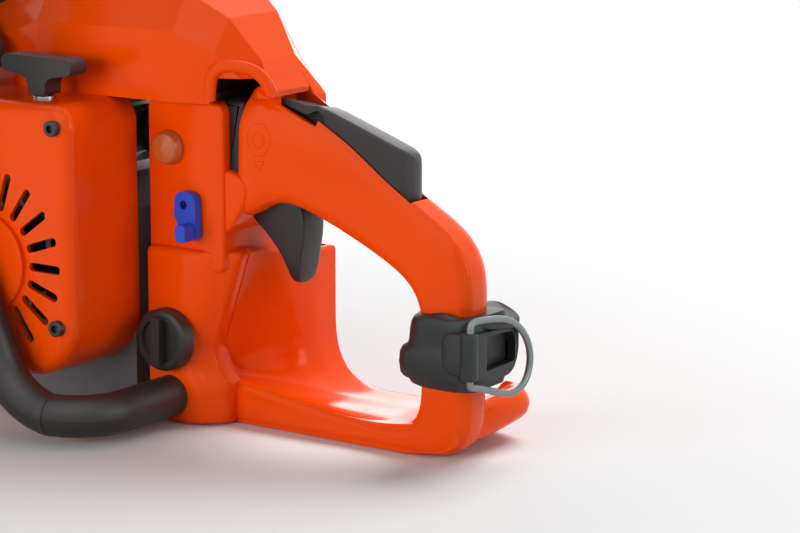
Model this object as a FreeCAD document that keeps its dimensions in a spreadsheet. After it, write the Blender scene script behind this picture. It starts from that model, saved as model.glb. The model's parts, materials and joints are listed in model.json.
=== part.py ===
import FreeCAD, Part
import math
import os
import re

from FreeCAD import Placement, Rotation, Vector

# A petrol chainsaw with a rear handle, as a parametric document.
# Millimetres. The origin is on the ground under the crankshaft, +Z is up, the guide bar
# points to -X and +Y is the bar's side, which is the saw's right.

SIZES = {
    # engine
    "crank_height": 95,
    "bore": 38,
    "stroke": 31,
    "rod_length": 56,
    "rod_width": 9,
    "piston_height": 30,
    "piston_crown": 15,
    "piston_gap": 0.15,
    "piston_pin_radius": 4.5,
    "crank_pin_radius": 5.5,
    "journal_radius": 7.5,
    "shaft_radius": 6,
    "shaft_left": 66,
    "shaft_right": 71,
    "web_radius": 29,
    "web_inner": 7,
    "web_outer": 16,
    "bearing_radius": 16,
    "bearing_start": 17,
    "bearing_width": 10,
    "seal_radius": 12,
    "seal_width": 6,
    "running_fit": 0.05,
    "case_left": 38,
    "case_right": 40,
    "case_rise": 42,
    "case_front": 104,
    "case_rear": 58,
    "cylinder_wall": 6,
    "cylinder_roof": 5,
    "fin_length": 72,
    "fin_width": 72,
    "fin_thickness": 2.2,
    "fin_pitch": 7,
    "fin_count": 8,
    "port_width": 30,
    "port_reach": 42,
    "plug_radius": 7,
    "port_rise": 67,
    # flywheel and starter
    "flywheel_radius": 50,
    "flywheel_outer": 60,
    "flywheel_inner": 44,
    "flywheel_blades": 14,
    "coil_gap": 0.6,
    "starter_depth": 98,
    "starter_half": 61,
    "starter_rise": 93,
    "starter_drop": 65,
    "cover_wall": 3,
    "post_radius": 6,
    "pulley_radius": 26,
    "pulley_core": 22,
    "pulley_left": 80,
    "pulley_right": 68,
    "rope_radius": 1.75,
    "pull_grip_length": 52,
    "pull_grip_width": 14,
    "pull_grip_height": 22,
    # clutch, bar and chain
    "bar_plane": 62,
    "bar_thickness": 4,
    "bar_tail": 52,
    "bar_nose": 436,
    "bar_half_height": 26,
    "bar_belly": 4,
    "nose_radius": 25,
    "groove_width": 1.4,
    "groove_depth": 7,
    "stud_front": 93,
    "stud_rear": 68,
    "stud_radius": 4,
    "tensioner_drop": 11,
    "drum_radius": 36,
    "drum_wall": 1.5,
    "drum_inner_face": 44,
    "shoe_gap": 0.6,
    "rim_width": 10,
    "sprocket_teeth": 7,
    "link_gauge": 1.3,
    "link_side": 1.1,
    "link_above": 3,
    "link_seat": 2.5,
    "tang_depth": 8,
    "cutter_height": 10,
    "cutter_reach": 3.3,
    "drive_link_count": 54,
    "chain_pitch": 9.32,
    "clutch_cover_face": 92,
    "band_gap": 0.5,
    "band_thickness": 1.2,
    # rear handle and tank
    "tank_front": 66,
    "tank_rear": 132,
    "tank_top": 104,
    "tank_left": 41,
    "tank_right": 59,
    "box_rise": 93,
    "box_left": 36,
    "box_right": 34,
    "box_rear": 116,
    "box_wall": 4,
    "grip_left": 20,
    "grip_right": 12,
    "grip_round": 10,
    "post_front": 242,
    "post_rear": 274,
    "grip_top_front": 190.5,
    "grip_slope": 0.52,
    "guard_right": 56,
    "guard_floor": 11,
    "trigger_width": 19,
    "lockout_width": 23,
    "slot_gap": 0.8,
    "trigger_x": 128,
    "trigger_z": 141,
    "lockout_x": 150,
    "lockout_z": 182,
    "lever_pin_radius": 2.5,
    "cap_radius": 18,
    "cap_height": 14,
    "choke_x": 98,
    "choke_z": 129,
    "primer_x": 84,
    "primer_z": 160,
    # lanyard clamp
    "clamp_bottom": 38,
    "clamp_top": 82,
    "clamp_wall": 8,
    "clamp_rear": 282,
    "ring_wire": 1.9,
    "ring_plane": 284.5,
    # front handle and guard
    "tube_radius": 12,
    "tube_x": -20,
    "tube_gap": 4,
    "tube_right": 80,
    "tube_rise": 205,
    "tube_foot_rise": 13,
    "guard_pivot_x": -30,
    "guard_pivot_rise": 18,
    "guard_pin_radius": 4,
    # top cover
    "hood_height": 64,
    "hood_left": 52,
    "hood_right": 54,
    "hood_front": 48,
    "hood_wall": 3,
}

# Heights and reaches that follow from the sizes above.
DERIVED = {
    "case_top": "crank_height + case_rise",
    "port_height": "crank_height + port_rise",
    "box_top": "crank_height + box_rise",
    "starter_top": "crank_height + starter_rise",
    "starter_bottom": "crank_height - starter_drop",
    "guard_pivot_z": "starter_top + guard_pivot_rise",
    "hood_top": "box_top + hood_height",
    "tube_foot": "case_top + tube_foot_rise",
    "tube_top": "crank_height + tube_rise",
    "tube_left": "starter_depth + tube_gap + tube_radius",
}

doc = FreeCAD.newDocument("Chainsaw")
sheet = doc.addObject("Spreadsheet::Sheet", "Sizes")
for row, (alias, number) in enumerate([*SIZES.items(), *DERIVED.items()], 1):
    sheet.set("A%d" % row, alias)
    sheet.set("B%d" % row, "=%s" % number)
    sheet.setAlias("B%d" % row, alias)
doc.recompute()

NODES = []
TURN = {
    "z": Rotation(),
    "y": Rotation(Vector(1, 0, 0), -90),
    "-y": Rotation(Vector(1, 0, 0), 90),
    "x": Rotation(Vector(0, 1, 0), 90),
    "-x": Rotation(Vector(0, 1, 0), -90),
}
AXIS = {"x": Vector(1, 0, 0), "y": Vector(0, 1, 0), "z": Vector(0, 0, 1)}


class Sheet:
    """Reads a size from the spreadsheet by its alias."""

    def __getattr__(self, alias):
        return float(sheet.get(alias))


S = Sheet()


# ---- document helpers ----

def bind(thing, prop, formula):
    """Bind a property to a formula of sheet aliases."""
    def cell(match):
        word = match.group()
        return "Sizes." + word if word in SIZES or word in DERIVED else word
    thing.setExpression(prop, re.sub(r"[a-z_]+", cell, str(formula)))


def put(thing, x=0, y=0, z=0, axis="z"):
    """Place an object, with its own Z along the given axis."""
    thing.Placement = Placement(Vector(), TURN[axis])
    bind(thing, "Placement.Base.x", x)
    bind(thing, "Placement.Base.y", y)
    bind(thing, "Placement.Base.z", z)
    return thing


def cylinder(radius, length, x=0, y=0, z=0, axis="z", name="Rod"):
    thing = doc.addObject("Part::Cylinder", name)
    bind(thing, "Radius", radius)
    bind(thing, "Height", length)
    return put(thing, x, y, z, axis)


def box(x_from, x_to, y_from, y_to, z_from, z_to, name="Block"):
    """A block between two corners, each given as a formula."""
    thing = doc.addObject("Part::Box", name)
    bind(thing, "Length", "(%s) - (%s)" % (x_to, x_from))
    bind(thing, "Width", "(%s) - (%s)" % (y_to, y_from))
    bind(thing, "Height", "(%s) - (%s)" % (z_to, z_from))
    return put(thing, x_from, y_from, z_from)


def fuse(*things):
    thing = doc.addObject("Part::MultiFuse", "Joined")
    thing.Shapes = list(things)
    return thing


def cut(base, *tools):
    thing = doc.addObject("Part::Cut", "Cut")
    thing.Base = base
    thing.Tool = tools[0] if len(tools) == 1 else fuse(*tools)
    return thing


def common(first, second):
    thing = doc.addObject("Part::Common", "Shared")
    thing.Base = first
    thing.Tool = second
    return thing


def group(*things):
    thing = doc.addObject("Part::Compound", "Group")
    thing.Links = list(things)
    return thing


def feature(shape, name="Form"):
    thing = doc.addObject("Part::Feature", name)
    thing.Shape = shape
    return thing


def node(thing, label):
    """Name a sub-part and list it for writing."""
    thing.Label = label
    NODES.append(thing)
    return thing


def rounded(corners):
    """Edges of a closed outline in a plane. Each corner is (u, v) or (u, v, radius)."""
    points = [Vector(c[0], c[1], 0) for c in corners]
    radii = [c[2] if len(c) > 2 else 0 for c in corners]
    count = len(points)
    starts, ends, middles = [], [], []
    for i in range(count):
        back = (points[i - 1] - points[i]).normalize()
        ahead = (points[(i + 1) % count] - points[i]).normalize()
        half = back.getAngle(ahead) / 2
        reach = radii[i] / math.tan(half) if radii[i] else 0
        starts.append(points[i] + back * reach)
        ends.append(points[i] + ahead * reach)
        inward = (back + ahead)
        depth = radii[i] / math.sin(half) - radii[i] if radii[i] else 0
        middles.append(points[i] + inward.normalize() * depth if depth else points[i])
    edges = []
    for i in range(count):
        if radii[i]:
            edges.append(Part.Arc(starts[i], middles[i], ends[i]))
        if ends[i].distanceToPoint(starts[(i + 1) % count]) > 1e-6:
            edges.append(Part.LineSegment(ends[i], starts[(i + 1) % count]))
    return edges


def above(height, corners):
    """Corners whose second value is measured from a height."""
    return [(corner[0], height + corner[1], *corner[2:]) for corner in corners]


def plane_of(body, role):
    return [f for f in body.Origin.OriginFeatures if f.Role == role][0]


def sketch_on(body, role, edges):
    sketch = body.newObject("Sketcher::SketchObject", "Outline")
    sketch.AttachmentSupport = (plane_of(body, role), [""])
    sketch.MapMode = "FlatFace"
    sketch.addGeometry(edges, False)
    return sketch


def pad(role, corners, length, x=0, y=0, z=0, name="Plate"):
    """A padded outline. On XZ_Plane it grows to -Y, on XY_Plane to +Z, on YZ_Plane to +X."""
    body = doc.addObject("PartDesign::Body", name)
    feature_pad = body.newObject("PartDesign::Pad", "Pad")
    feature_pad.Profile = sketch_on(body, role, rounded(corners))
    bind(feature_pad, "Length", length)
    return put(body, x, y, z)


def side_plate(corners, y_from, y_to, name="Plate"):
    """An outline of (x, z) corners between two stations across the saw."""
    return pad("XZ_Plane", corners, "(%s) - (%s)" % (y_to, y_from), y=y_to, name=name)


def plan_plate(corners, z_from, z_to, name="Plate"):
    """An outline of (x, y) corners between two heights."""
    return pad("XY_Plane", corners, "(%s) - (%s)" % (z_to, z_from), z=z_from, name=name)


def turned(corners, x=0, y=0, z=0, axis="z", name="Turned"):
    """An outline of (radius, station) corners turned about its axis."""
    body = doc.addObject("PartDesign::Body", name)
    sketch = sketch_on(body, "XZ_Plane", rounded(corners))
    spin = body.newObject("PartDesign::Revolution", "Revolution")
    spin.Profile = sketch
    spin.ReferenceAxis = (sketch, ["V_Axis"])
    spin.Angle = 360
    return put(body, x, y, z, axis)


def around(thing, count, x=0, y=0, z=0, axis="y"):
    """Copies of an object spaced evenly round an axis."""
    copies = []
    centre = Vector(x, y, z)
    doc.recompute()
    for i in range(count):
        shape = thing.Shape.copy()
        shape.rotate(centre, AXIS[axis], 360.0 * i / count)
        copies.append(shape)
    return feature(Part.makeCompound(copies))


def round_edges(thing, radius, wanted):
    """Fillet the edges that a test picks."""
    doc.recompute()
    rounding = doc.addObject("Part::Fillet", "Rounding")
    rounding.Base = thing
    rounding.Edges = [(i, radius, radius) for i, edge in enumerate(thing.Shape.Edges, 1) if wanted(edge)]
    return rounding


def screws(places, radius, length, axis, y=0, name="Screw"):
    """A set of socket-head screws at (x, z) or (x, y) places, heads outward."""
    made = []
    for across, up in places:
        shank = cylinder(radius, length, across, y, up, axis)
        head = turned([(0, 0), (radius * 1.8, 0), (radius * 1.8, radius * 1.6, 0.6), (radius * 0.9, radius * 1.6),
                       (radius * 0.9, radius * 0.7), (0, radius * 0.7)], across, y, up, OPPOSITE[axis])
        made.append(fuse(shank, head))
    return group(*made)


OPPOSITE = {"y": "-y", "-y": "y", "x": "-x", "-x": "x", "z": "z"}


# ---- engine ----

def crankcase():
    """Two castings that meet on the cylinder's axis and hold the crankshaft."""
    front, axis = -S.case_front, S.crank_height
    outline = [(front, 0, 10), (front, axis - 29, 8), (-92, axis - 19, 5), (-92, axis + 17, 10), (-60, S.case_top, 6),
               (44, S.case_top, 4), (S.case_rear, axis + 27, 6), (S.case_rear, 0, 8)]
    chamber = cylinder("web_radius + 2", "2 * (bearing_start)", 0, "-bearing_start", "crank_height", "y")
    bearings = cylinder("bearing_radius", "2 * (bearing_start + bearing_width)", 0,
                        "-bearing_start - bearing_width", "crank_height", "y")
    seals = cylinder("seal_radius", "2 * (bearing_start + bearing_width + seal_width)", 0,
                     "-bearing_start - bearing_width - seal_width", "crank_height", "y")
    shaft = cylinder("shaft_radius + 2", "case_left + case_right + 60", 0, "-case_left - 20", "crank_height", "y")
    neck = cylinder("bore / 2 + cylinder_wall", "80", 0, 0, "crank_height", "z")
    hollow = fuse(chamber, bearings, seals, shaft, neck)
    left = side_plate(outline, "-case_left", "0", "CaseLeft")
    ear = side_plate(above(axis, [(-26, 25, 3), (-26, 73, 6), (26, 73, 6), (26, 25, 3)]), "-43.5", "-37", "CoilEar")
    oil_neck = cylinder("cap_radius - 5", "20", OIL_CAP[0], "-case_left - 1", OIL_CAP[1], "y")
    node(cut(fuse(left, ear), hollow, oil_neck), "crankcase_left")
    right = side_plate(outline, "0", "case_right", "CaseRight")
    bar_pad = side_plate([(-case_pad()[0], axis - 18, 4), (-case_pad()[0], axis + 18, 4),
                          (-case_pad()[1], axis + 18, 4), (-case_pad()[1], axis - 18, 4)], "case_right - 1", "bar_plane - bar_thickness / 2", "BarPad")
    lug = box("tube_x - 14", "tube_x + 12", "case_right - 2", "tube_right + tube_radius", "case_top - 6", "tube_foot")
    lug_drum = box("tube_x - 15", "tube_x + 13", "case_right", "tube_right + 40", "0", "case_top + 1")
    post = side_plate([(-40, S.case_top + 1, 0), (-40, S.guard_pivot_z + 8, 8), (-22, S.guard_pivot_z + 8, 8),
                       (-22, S.case_top + 1, 0)],
                      "56", "60", "GuardPost")
    pin = cylinder("guard_pin_radius", "8", "guard_pivot_x", "57", "guard_pivot_z", "y")
    studs = [cylinder("stud_radius", "30", "-" + place, "bar_plane - 22", "crank_height", "y")
             for place in ("stud_front", "stud_rear")]
    adjuster = cylinder("3.2", "20", TENSIONER_X, "bar_plane - 8", "crank_height - tensioner_drop", "y")
    body = fuse(cut(fuse(right, bar_pad), hollow), cut(lug, lug_drum), post, pin)
    node(cut(body, *studs, adjuster), "crankcase_right")


def case_pad():
    """The front and rear stations of the bar pad."""
    return S.stud_front + 12, S.stud_rear - 22


OIL_CAP = (-80, 34)
FUEL_CAP = (86, 50)
TENSIONER_X = -60


def crank_train():
    """Crankshaft, bearings, seals, connecting rod and piston at the top of the stroke."""
    webs = [cylinder("web_radius", "web_outer - web_inner", 0, side, "crank_height", "y")
            for side in ("web_inner", "-web_outer")]
    journal = cylinder("journal_radius", "2 * (bearing_start + bearing_width)", 0,
                       "-bearing_start - bearing_width", "crank_height", "y")
    shaft = cylinder("shaft_radius", "shaft_left + shaft_right", 0, "-shaft_left", "crank_height", "y")
    gap = cylinder("web_radius + 5", "2 * web_inner", 0, "-web_inner", "crank_height", "y")
    node(cut(fuse(*webs, journal, shaft), gap), "crankshaft")
    for name, inner, outer, start, width in (
            ("main_bearings", "journal_radius + running_fit", "bearing_radius", "bearing_start", "bearing_width"),
            ("crank_seals", "journal_radius", "seal_radius", "bearing_start + bearing_width", "seal_width")):
        rings = []
        for sign in ("", "-"):
            begin = start if not sign else "-(%s) - %s" % (start, width)
            ring = cut(cylinder(outer, width, 0, begin, "crank_height", "y"),
                       cylinder(inner, width + " + 2", 0, begin + " - 1", "crank_height", "y"))
            rings.append(ring)
        node(group(*rings), name)
    pin_height = "crank_height + stroke / 2"
    node(cylinder("crank_pin_radius", "2 * web_inner - 0.6", 0, "0.3 - web_inner", pin_height, "y"), "crank_pin")
    wrist = S.crank_height + S.stroke / 2 + S.rod_length
    big, small = S.crank_pin_radius + 4, S.piston_pin_radius + 3
    low = S.crank_height + S.stroke / 2
    beam = side_plate([(-4.5, low), (-3, wrist), (3, wrist), (4.5, low)], "-rod_width / 2 + 1.5",
                      "rod_width / 2 - 1.5", "Beam")
    ends = [cylinder(str(radius), "rod_width", 0, "-rod_width / 2", height, "y")
            for radius, height in ((big, low), (small, wrist))]
    eyes = [cylinder("crank_pin_radius", "30", 0, -15, low, "y"), cylinder("piston_pin_radius", "30", 0, -15, wrist, "y")]
    node(cut(fuse(beam, *ends), *eyes), "connecting_rod")
    radius = S.bore / 2 - S.piston_gap
    crown = wrist + S.piston_crown
    skirt = crown - S.piston_height
    solid = turned([(0, crown), (radius, crown, 1), (radius, crown - 3), (radius - 1.6, crown - 3),
                    (radius - 1.6, crown - 4.6), (radius, crown - 4.6), (radius, skirt), (radius - 3, skirt),
                    (radius - 3, crown - 6.5, 3), (0, crown - 6.5)], name="Piston")
    bosses = cylinder("piston_pin_radius + 3", "bore - 4", 0, "2 - bore / 2", wrist, "y")
    room = cylinder("20", "rod_width + 2", 0, "-rod_width / 2 - 1", wrist - 10, "y")
    pin_hole = cylinder("piston_pin_radius", "60", 0, -30, wrist, "y")
    clear = cut(bosses, room)
    node(cylinder("piston_pin_radius", "bore - 4", 0, "2 - bore / 2", wrist, "y"), "piston_pin")
    ring = cut(cylinder("bore / 2", "1.6", 0, 0, crown - 4.6), cylinder(str(radius - 1.6), "4", 0, 0, crown - 6))
    node(group(cut(fuse(solid, clear), pin_hole), ring), "piston")


def cylinder_block():
    """The finned cylinder with its inlet and exhaust flanges, plug and plug cap."""
    crown = S.crank_height + S.stroke / 2 + S.rod_length + S.piston_crown
    roof = crown + 2
    barrel = cylinder("bore / 2 + cylinder_wall", roof + S.cylinder_roof - S.case_top, 0, 0, "case_top")
    spigot = cylinder("bore / 2 + cylinder_wall", "8", 0, 0, "case_top - 8")
    fins = []
    for i in range(int(S.fin_count)):
        half, deep = S.fin_length / 2, S.fin_width / 2
        low = S.case_top + 4 + i * S.fin_pitch
        fins.append(plan_plate([(-half, -deep, 10), (half, -deep, 10), (half, deep, 10), (-half, deep, 10)],
                               str(low), "%s + fin_thickness" % low, "Fin"))
    foot = plan_plate([(-34, -34, 8), (34, -34, 8), (34, 34, 8), (-34, 34, 8)], "case_top", "case_top + 5", "Foot")
    head = cylinder("plug_radius + 6", "14", 0, 0, roof + 1)
    flanges = box("-port_reach", "port_reach", "-port_width / 2", "port_width / 2", "port_height - 12", "port_height + 12")
    bore = cylinder("bore / 2", roof - S.case_top + 8, 0, 0, "case_top - 8")
    plug_hole = cylinder("plug_radius", "60", 0, 0, crown)
    ports = cylinder("8", "120", -60, 0, "port_height", "x")
    plug_room = cylinder("12", "60", 0, 0, roof + 15)
    node(cut(fuse(barrel, spigot, foot, head, flanges, *fins), bore, plug_hole, ports, plug_room), "cylinder")
    seat = roof + 15
    plug = turned([(0, roof - 1), (S.plug_radius, roof - 1), (S.plug_radius, seat), (10, seat, 1), (10, seat + 7, 1),
                   (6, seat + 8), (5, seat + 22, 1), (0, seat + 22)], name="Plug")
    node(plug, "spark_plug")
    cap = turned([(6.5, seat + 8.5), (9.5, seat + 8.5, 1), (9.5, seat + 30, 3), (0, seat + 30), (0, seat + 22),
                  (5, seat + 22)], name="PlugCap")
    stub = cylinder("4", "24", 4, 0, seat + 26.5, "x")
    node(fuse(cap, stub), "spark_plug_cap")


def intake_and_exhaust():
    """Rubber intake, carburettor, air filter and silencer."""
    reach = "port_reach"
    height = "port_height"
    tube = cut(cylinder("14", "tank_front - port_reach + 4", reach, 0, height, "x"),
               cylinder("8", "60", "port_reach - 2", 0, height, "x"))
    bellows = [cut(cylinder("16", "3", "port_reach + %d" % step, 0, height, "x"),
                   cylinder("13", "9", "port_reach + %d" % (step - 3), 0, height, "x")) for step in (6, 13, 20)]
    node(fuse(tube, *bellows), "intake_boot")
    body = box("tank_front + 4", "box_rear - box_wall - 8", -20, 20, "port_height - 17", "box_top")
    throat = cylinder("8", "90", "tank_front", 0, height, "x")
    bowl = cylinder("13", "6", "tank_front + 22", 0, "port_height - 23", "z")
    needles = [cylinder("2.5", "10", "tank_front + %d" % step, -29, "port_height - 10", "y") for step in (12, 20)]
    node(cut(fuse(body, bowl, *needles), throat), "carburettor")
    frame = plan_plate([(62, -36, 8), (114, -36, 8), (114, 34, 8), (62, 34, 8)], "box_top", "box_top + 5", "FilterPlate")
    pleats = [box(68 + step * 6, 71 + step * 6, -28, 26, "box_top + 4", "box_top + 34") for step in range(7)]
    core = plan_plate([(66, -28, 6), (110, -28, 6), (110, 26, 6), (66, 26, 6)], "box_top + 4", "box_top + 30", "FilterCore")
    node(fuse(frame, core, *pleats), "air_filter")
    port, flange = S.port_height, -S.port_reach
    shell = side_plate(above(port, [(-100, -20, 12), (-100, 24, 14), (flange, 24, 10), (flange, -20, 10)]), -34, 34, "Silencer")
    outlet = cut(cylinder("7", "10", -108, 20, "port_height + 10", "x"), cylinder("5", "14", -110, 20, "port_height + 10", "x"))
    seam = side_plate(above(port, [(-102, 6, 1), (-102, 9, 1), (flange, 9, 1), (flange, 6, 1)]), -36, 36, "Seam")
    plate = box(-104.5, -102, -30, 12, "port_height - 16", "port_height + 20")
    louvres = [box(-107, -103, -24, 6, port - 13 + 7 * step, port - 10 + 7 * step)
               for step in range(5)]
    feet = box(-102, -100, -20, 2, "port_height - 4", "port_height + 4")
    node(fuse(shell, outlet, seam, plate, feet, *louvres), "muffler")


def flywheel_and_starter():
    """Flywheel with fan blades, coil, starter housing, rope pulley and pull grip."""
    width = S.flywheel_outer - S.flywheel_inner
    rim = S.flywheel_radius
    disc = turned([(S.shaft_radius, 0), (rim, 0), (rim, width * 0.55), (rim - 7, width * 0.55), (rim - 9, 5, 2), (16, 5, 2),
                   (15, width), (S.shaft_radius, width)], 0, "-flywheel_inner", 0, "-y", "Flywheel")
    bind(disc, "Placement.Base.z", "crank_height")
    blade = side_plate([(20, S.crank_height - 1.2), (rim - 1, S.crank_height + 7), (rim - 2, S.crank_height + 9),
                        (20, S.crank_height + 1.2)], "-flywheel_outer", "-flywheel_inner - 4", "Blade")
    blades = around(blade, int(S.flywheel_blades), 0, 0, S.crank_height)
    node(fuse(disc, blades), "flywheel")
    pawl = side_plate([(17, S.crank_height - 4, 2), (26, S.crank_height - 1, 1), (26, S.crank_height + 3, 1),
                       (17, S.crank_height + 4, 2)], "-flywheel_outer - 4", "-flywheel_outer", "Pawl")
    node(around(pawl, 2, 0, 0, S.crank_height), "starter_pawls")
    low = S.crank_height + S.flywheel_radius + S.coil_gap
    coil = side_plate([(-22, low + 6, 3), (-22, low + 24, 5), (22, low + 24, 5), (22, low + 6, 3)], -58, -43.5, "Coil")
    legs = [side_plate([(x - 4, low + 0.8), (x - 4, low + 8), (x + 4, low + 8), (x + 4, low + 0.8)], -56, -46, "Leg")
            for x in (-14, 0, 14)]
    node(fuse(coil, *legs), "ignition_coil")

    half, top, bottom = S.starter_half, S.starter_top, S.starter_bottom
    outline = [(-half, bottom, 34), (-half, top, 14), (half, top, 14), (half, bottom, 34)]
    inner = [(-half + 3, bottom + 3, 31), (-half + 3, top - 3, 11), (half - 3, top - 3, 11), (half - 3, bottom + 3, 31)]
    face = -S.starter_depth
    block = side_plate(outline, "-starter_depth", "-case_left", "StarterShell")
    rounded_block = round_edges(block, 8, lambda e: abs(e.BoundBox.YMin - face) < 0.01 and abs(e.BoundBox.YMax - face) < 0.01)
    room = side_plate(inner, "cover_wall - starter_depth", "-case_left + 1", "StarterRoom")
    slot = side_plate([(31, S.crank_height - 2.5, 2.4), (54, S.crank_height - 2.5, 2.4),
                       (54, S.crank_height + 2.5, 2.4), (31, S.crank_height + 2.5, 2.4)],
                      "-starter_depth - 5", "-starter_depth + 12", "Vent")
    vents = around(slot, 20, 0, 0, S.crank_height)
    post = cylinder("post_radius", "starter_depth - pulley_right - cover_wall + 1", 0, "cover_wall - starter_depth - 1",
                    "crank_height", "y")
    boss = cylinder("28", "4", 0, "-starter_depth - 3", "crank_height", "y")
    rope_eye = cylinder("5", "12", "pulley_core + rope_radius + 0.4", ROPE_Y, "starter_top - 8")
    lug = side_plate([(-40, S.starter_top - 8, 0), (-40, S.guard_pivot_z + 8, 8), (-22, S.guard_pivot_z + 8, 8),
                      (-22, S.starter_top - 8, 0)],
                     "-66", "-61", "GuardLug")
    pin = cylinder("guard_pin_radius", "6", "guard_pivot_x", "-62", "guard_pivot_z", "y")
    screw_holes = [cylinder("2.5", "20", x, "-starter_depth - 8", z, "y") for x, z in starter_screws()]
    node(fuse(cut(rounded_block, room, vents, rope_eye, *screw_holes), post, boss, lug, pin), "starter_cover")
    bush = turned([(S.rope_radius + 0.4, -3), (5, -3), (5, 0), (6.5, 0), (6.5, 1.5, 0.7), (S.rope_radius + 0.4, 1.5)],
                  "pulley_core + rope_radius + 0.4", ROPE_Y, "starter_top", "z", "Bush")
    node(bush, "rope_bush")
    wide = S.pulley_left - S.pulley_right
    pulley = turned([(S.post_radius + S.running_fit, 0), (S.pulley_radius, 0), (S.pulley_radius, 2), (S.pulley_core, 2.5),
                     (S.pulley_core, wide - 2.5), (S.pulley_radius, wide - 2), (S.pulley_radius, wide),
                     (S.post_radius + S.running_fit, wide)], 0, "-pulley_left", 0, "y", "Pulley")
    bind(pulley, "Placement.Base.z", "crank_height")
    node(pulley, "starter_pulley")
    spring = cut(cylinder("23", "11", 0, "0.4 - starter_depth + cover_wall", "crank_height", "y"),
                 cylinder("post_radius", "30", 0, "-starter_depth", "crank_height", "y"))
    node(spring, "recoil_spring")
    rope_from, rope_to = "crank_height", "starter_top + 2"
    node(cylinder("rope_radius", "%s - %s" % (rope_to, rope_from), "pulley_core + rope_radius + 0.4", ROPE_Y, rope_from),
         "starter_rope")
    half = S.pull_grip_length / 2
    low = S.starter_top + 2
    tall = S.pull_grip_height
    middle = S.pulley_core + S.rope_radius + 0.4
    grip = side_plate([(middle - 6, low, 2), (middle - 7, low + tall - 12, 6), (middle - half, low + tall - 9, 4),
                       (middle - half, low + tall, 4), (middle + half, low + tall, 4), (middle + half, low + tall - 9, 4),
                       (middle + 7, low + tall - 12, 6), (middle + 6, low, 2)],
                      "%s - pull_grip_width / 2" % ROPE_Y, "%s + pull_grip_width / 2" % ROPE_Y, "PullGrip")
    node(grip, "starter_handle")


def starter_screws():
    """Screw places near the starter cover's corners."""
    across = S.starter_half - 9
    return [(x, z) for x in (-across, across) for z in (S.starter_bottom + 32, S.starter_top - 12)]


ROPE_Y = "-74"


# ---- clutch, bar and chain ----

def clutch():
    """Centrifugal clutch inside the drum, rim sprocket, brake band and oil pump."""
    inner = S.drum_radius - S.drum_wall
    web = S.bar_plane - S.rim_width / 2
    drum = turned([(9.5, web - 1.5), (inner, web - 1.5), (inner, S.drum_inner_face), (S.drum_radius, S.drum_inner_face),
                   (S.drum_radius, web), (9.5, web)], 0, 0, "crank_height", "y", "Drum")
    node(drum, "clutch_drum")
    rim = sprocket_radius() * math.cos(math.pi / S.sprocket_teeth / 2) - S.link_seat - 0.15
    core = sprocket_radius() - S.tang_depth - 0.6
    slot = S.groove_width / 2 + 0.1
    flanged = turned([(9.5, -5), (rim, -5), (rim, -slot), (core, -slot), (core, slot), (rim, slot), (rim, 5), (9.5, 5)],
                     0, "bar_plane", "crank_height", "y", "Rim")
    node(flanged, "rim_sprocket")
    bearing = cut(cylinder("9.5", "rim_width + 1.5", 0, "bar_plane - rim_width / 2 - 1.5", "crank_height", "y"),
                  cylinder("shaft_radius + running_fit", "40", 0, "bar_plane - 20", "crank_height", "y"))
    node(bearing, "needle_bearing")
    washer = cut(cylinder("11", "1.6", 0, "bar_plane + rim_width / 2 + 0.4", "crank_height", "y"),
                 cylinder("shaft_radius", "9", 0, "bar_plane + rim_width / 2 - 1", "crank_height", "y"))
    nut = cut(cylinder("9", "5.5", 0, "-flywheel_outer - 5.5", "crank_height", "y"),
              cylinder("shaft_radius", "9", 0, "-flywheel_outer - 7", "crank_height", "y"))
    node(group(nut, washer), "shaft_nuts")
    start, end = S.drum_inner_face + 0.3, web - 2.2
    hub = cylinder("12", end - start, 0, start, "crank_height", "y")
    arm = side_plate([(-4, S.crank_height + 9), (-4, S.crank_height + 24.5), (4, S.crank_height + 24.5),
                      (4, S.crank_height + 9)],
                     str(start), str(end), "Arm")
    arms = around(arm, 3, 0, 0, S.crank_height)
    bore = cylinder("shaft_radius", "60", 0, 20, "crank_height", "y")
    spider = node(cut(fuse(hub, arms), bore), "clutch_hub")
    ring = cut(cylinder("drum_radius - drum_wall - shoe_gap", end - start, 0, start, "crank_height", "y"),
               cylinder("24", "60", 0, 20, "crank_height", "y"))
    gap = side_plate([(-1.5, S.crank_height + 10), (-1.5, S.crank_height + 40), (1.5, S.crank_height + 40),
                      (1.5, S.crank_height + 10)], 20, 60, "ShoeGap")
    gaps = around(gap, 3, 0, 0, S.crank_height)
    gaps.Placement = Placement(Vector(), Rotation(AXIS["y"], 60), Vector(0, 0, S.crank_height))
    node(cut(ring, gaps, spider), "clutch_shoes")
    band_in = "drum_radius + band_gap"
    band = cut(cylinder(band_in + " + band_thickness", "8", 0, "drum_inner_face + 2", "crank_height", "y"),
               cylinder(band_in, "20", 0, "drum_inner_face - 3", "crank_height", "y"),
               box(-60, -10, 30, 80, "crank_height - 75", "crank_height - 23"))
    tab = side_plate(above(S.crank_height, [(-46, 5), (-46, 11), (-34.5, 11), (-34.5, 5)]), "drum_inner_face + 2",
                     "drum_inner_face + 10", "Tab")
    tab_clear = cylinder(band_in, "40", 0, 30, "crank_height", "y")
    node(fuse(band, cut(tab, tab_clear)), "brake_band")
    pump = side_plate(above(S.crank_height, [(-22, -25, 6), (-22, 23, 8), (22, 23, 8), (22, -25, 6)]), "case_right",
                      "case_right + 3.4", "Pump")
    node(cut(pump, cylinder("9.4", "20", 0, 30, "crank_height", "y")), "oil_pump")
    worm = cut(cylinder("8.8", "drum_inner_face + 0.3 - case_right - 0.4", 0, "case_right + 0.4", "crank_height", "y"),
               cylinder("shaft_radius", "20", 0, 34, "crank_height", "y"))
    node(worm, "oil_pump_worm")


def sprocket_radius():
    """Pitch radius of the drive sprocket: half a chain pitch spans one side of its polygon."""
    return S.chain_pitch / (2 * math.sin(math.pi / (2 * S.sprocket_teeth)))


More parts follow.
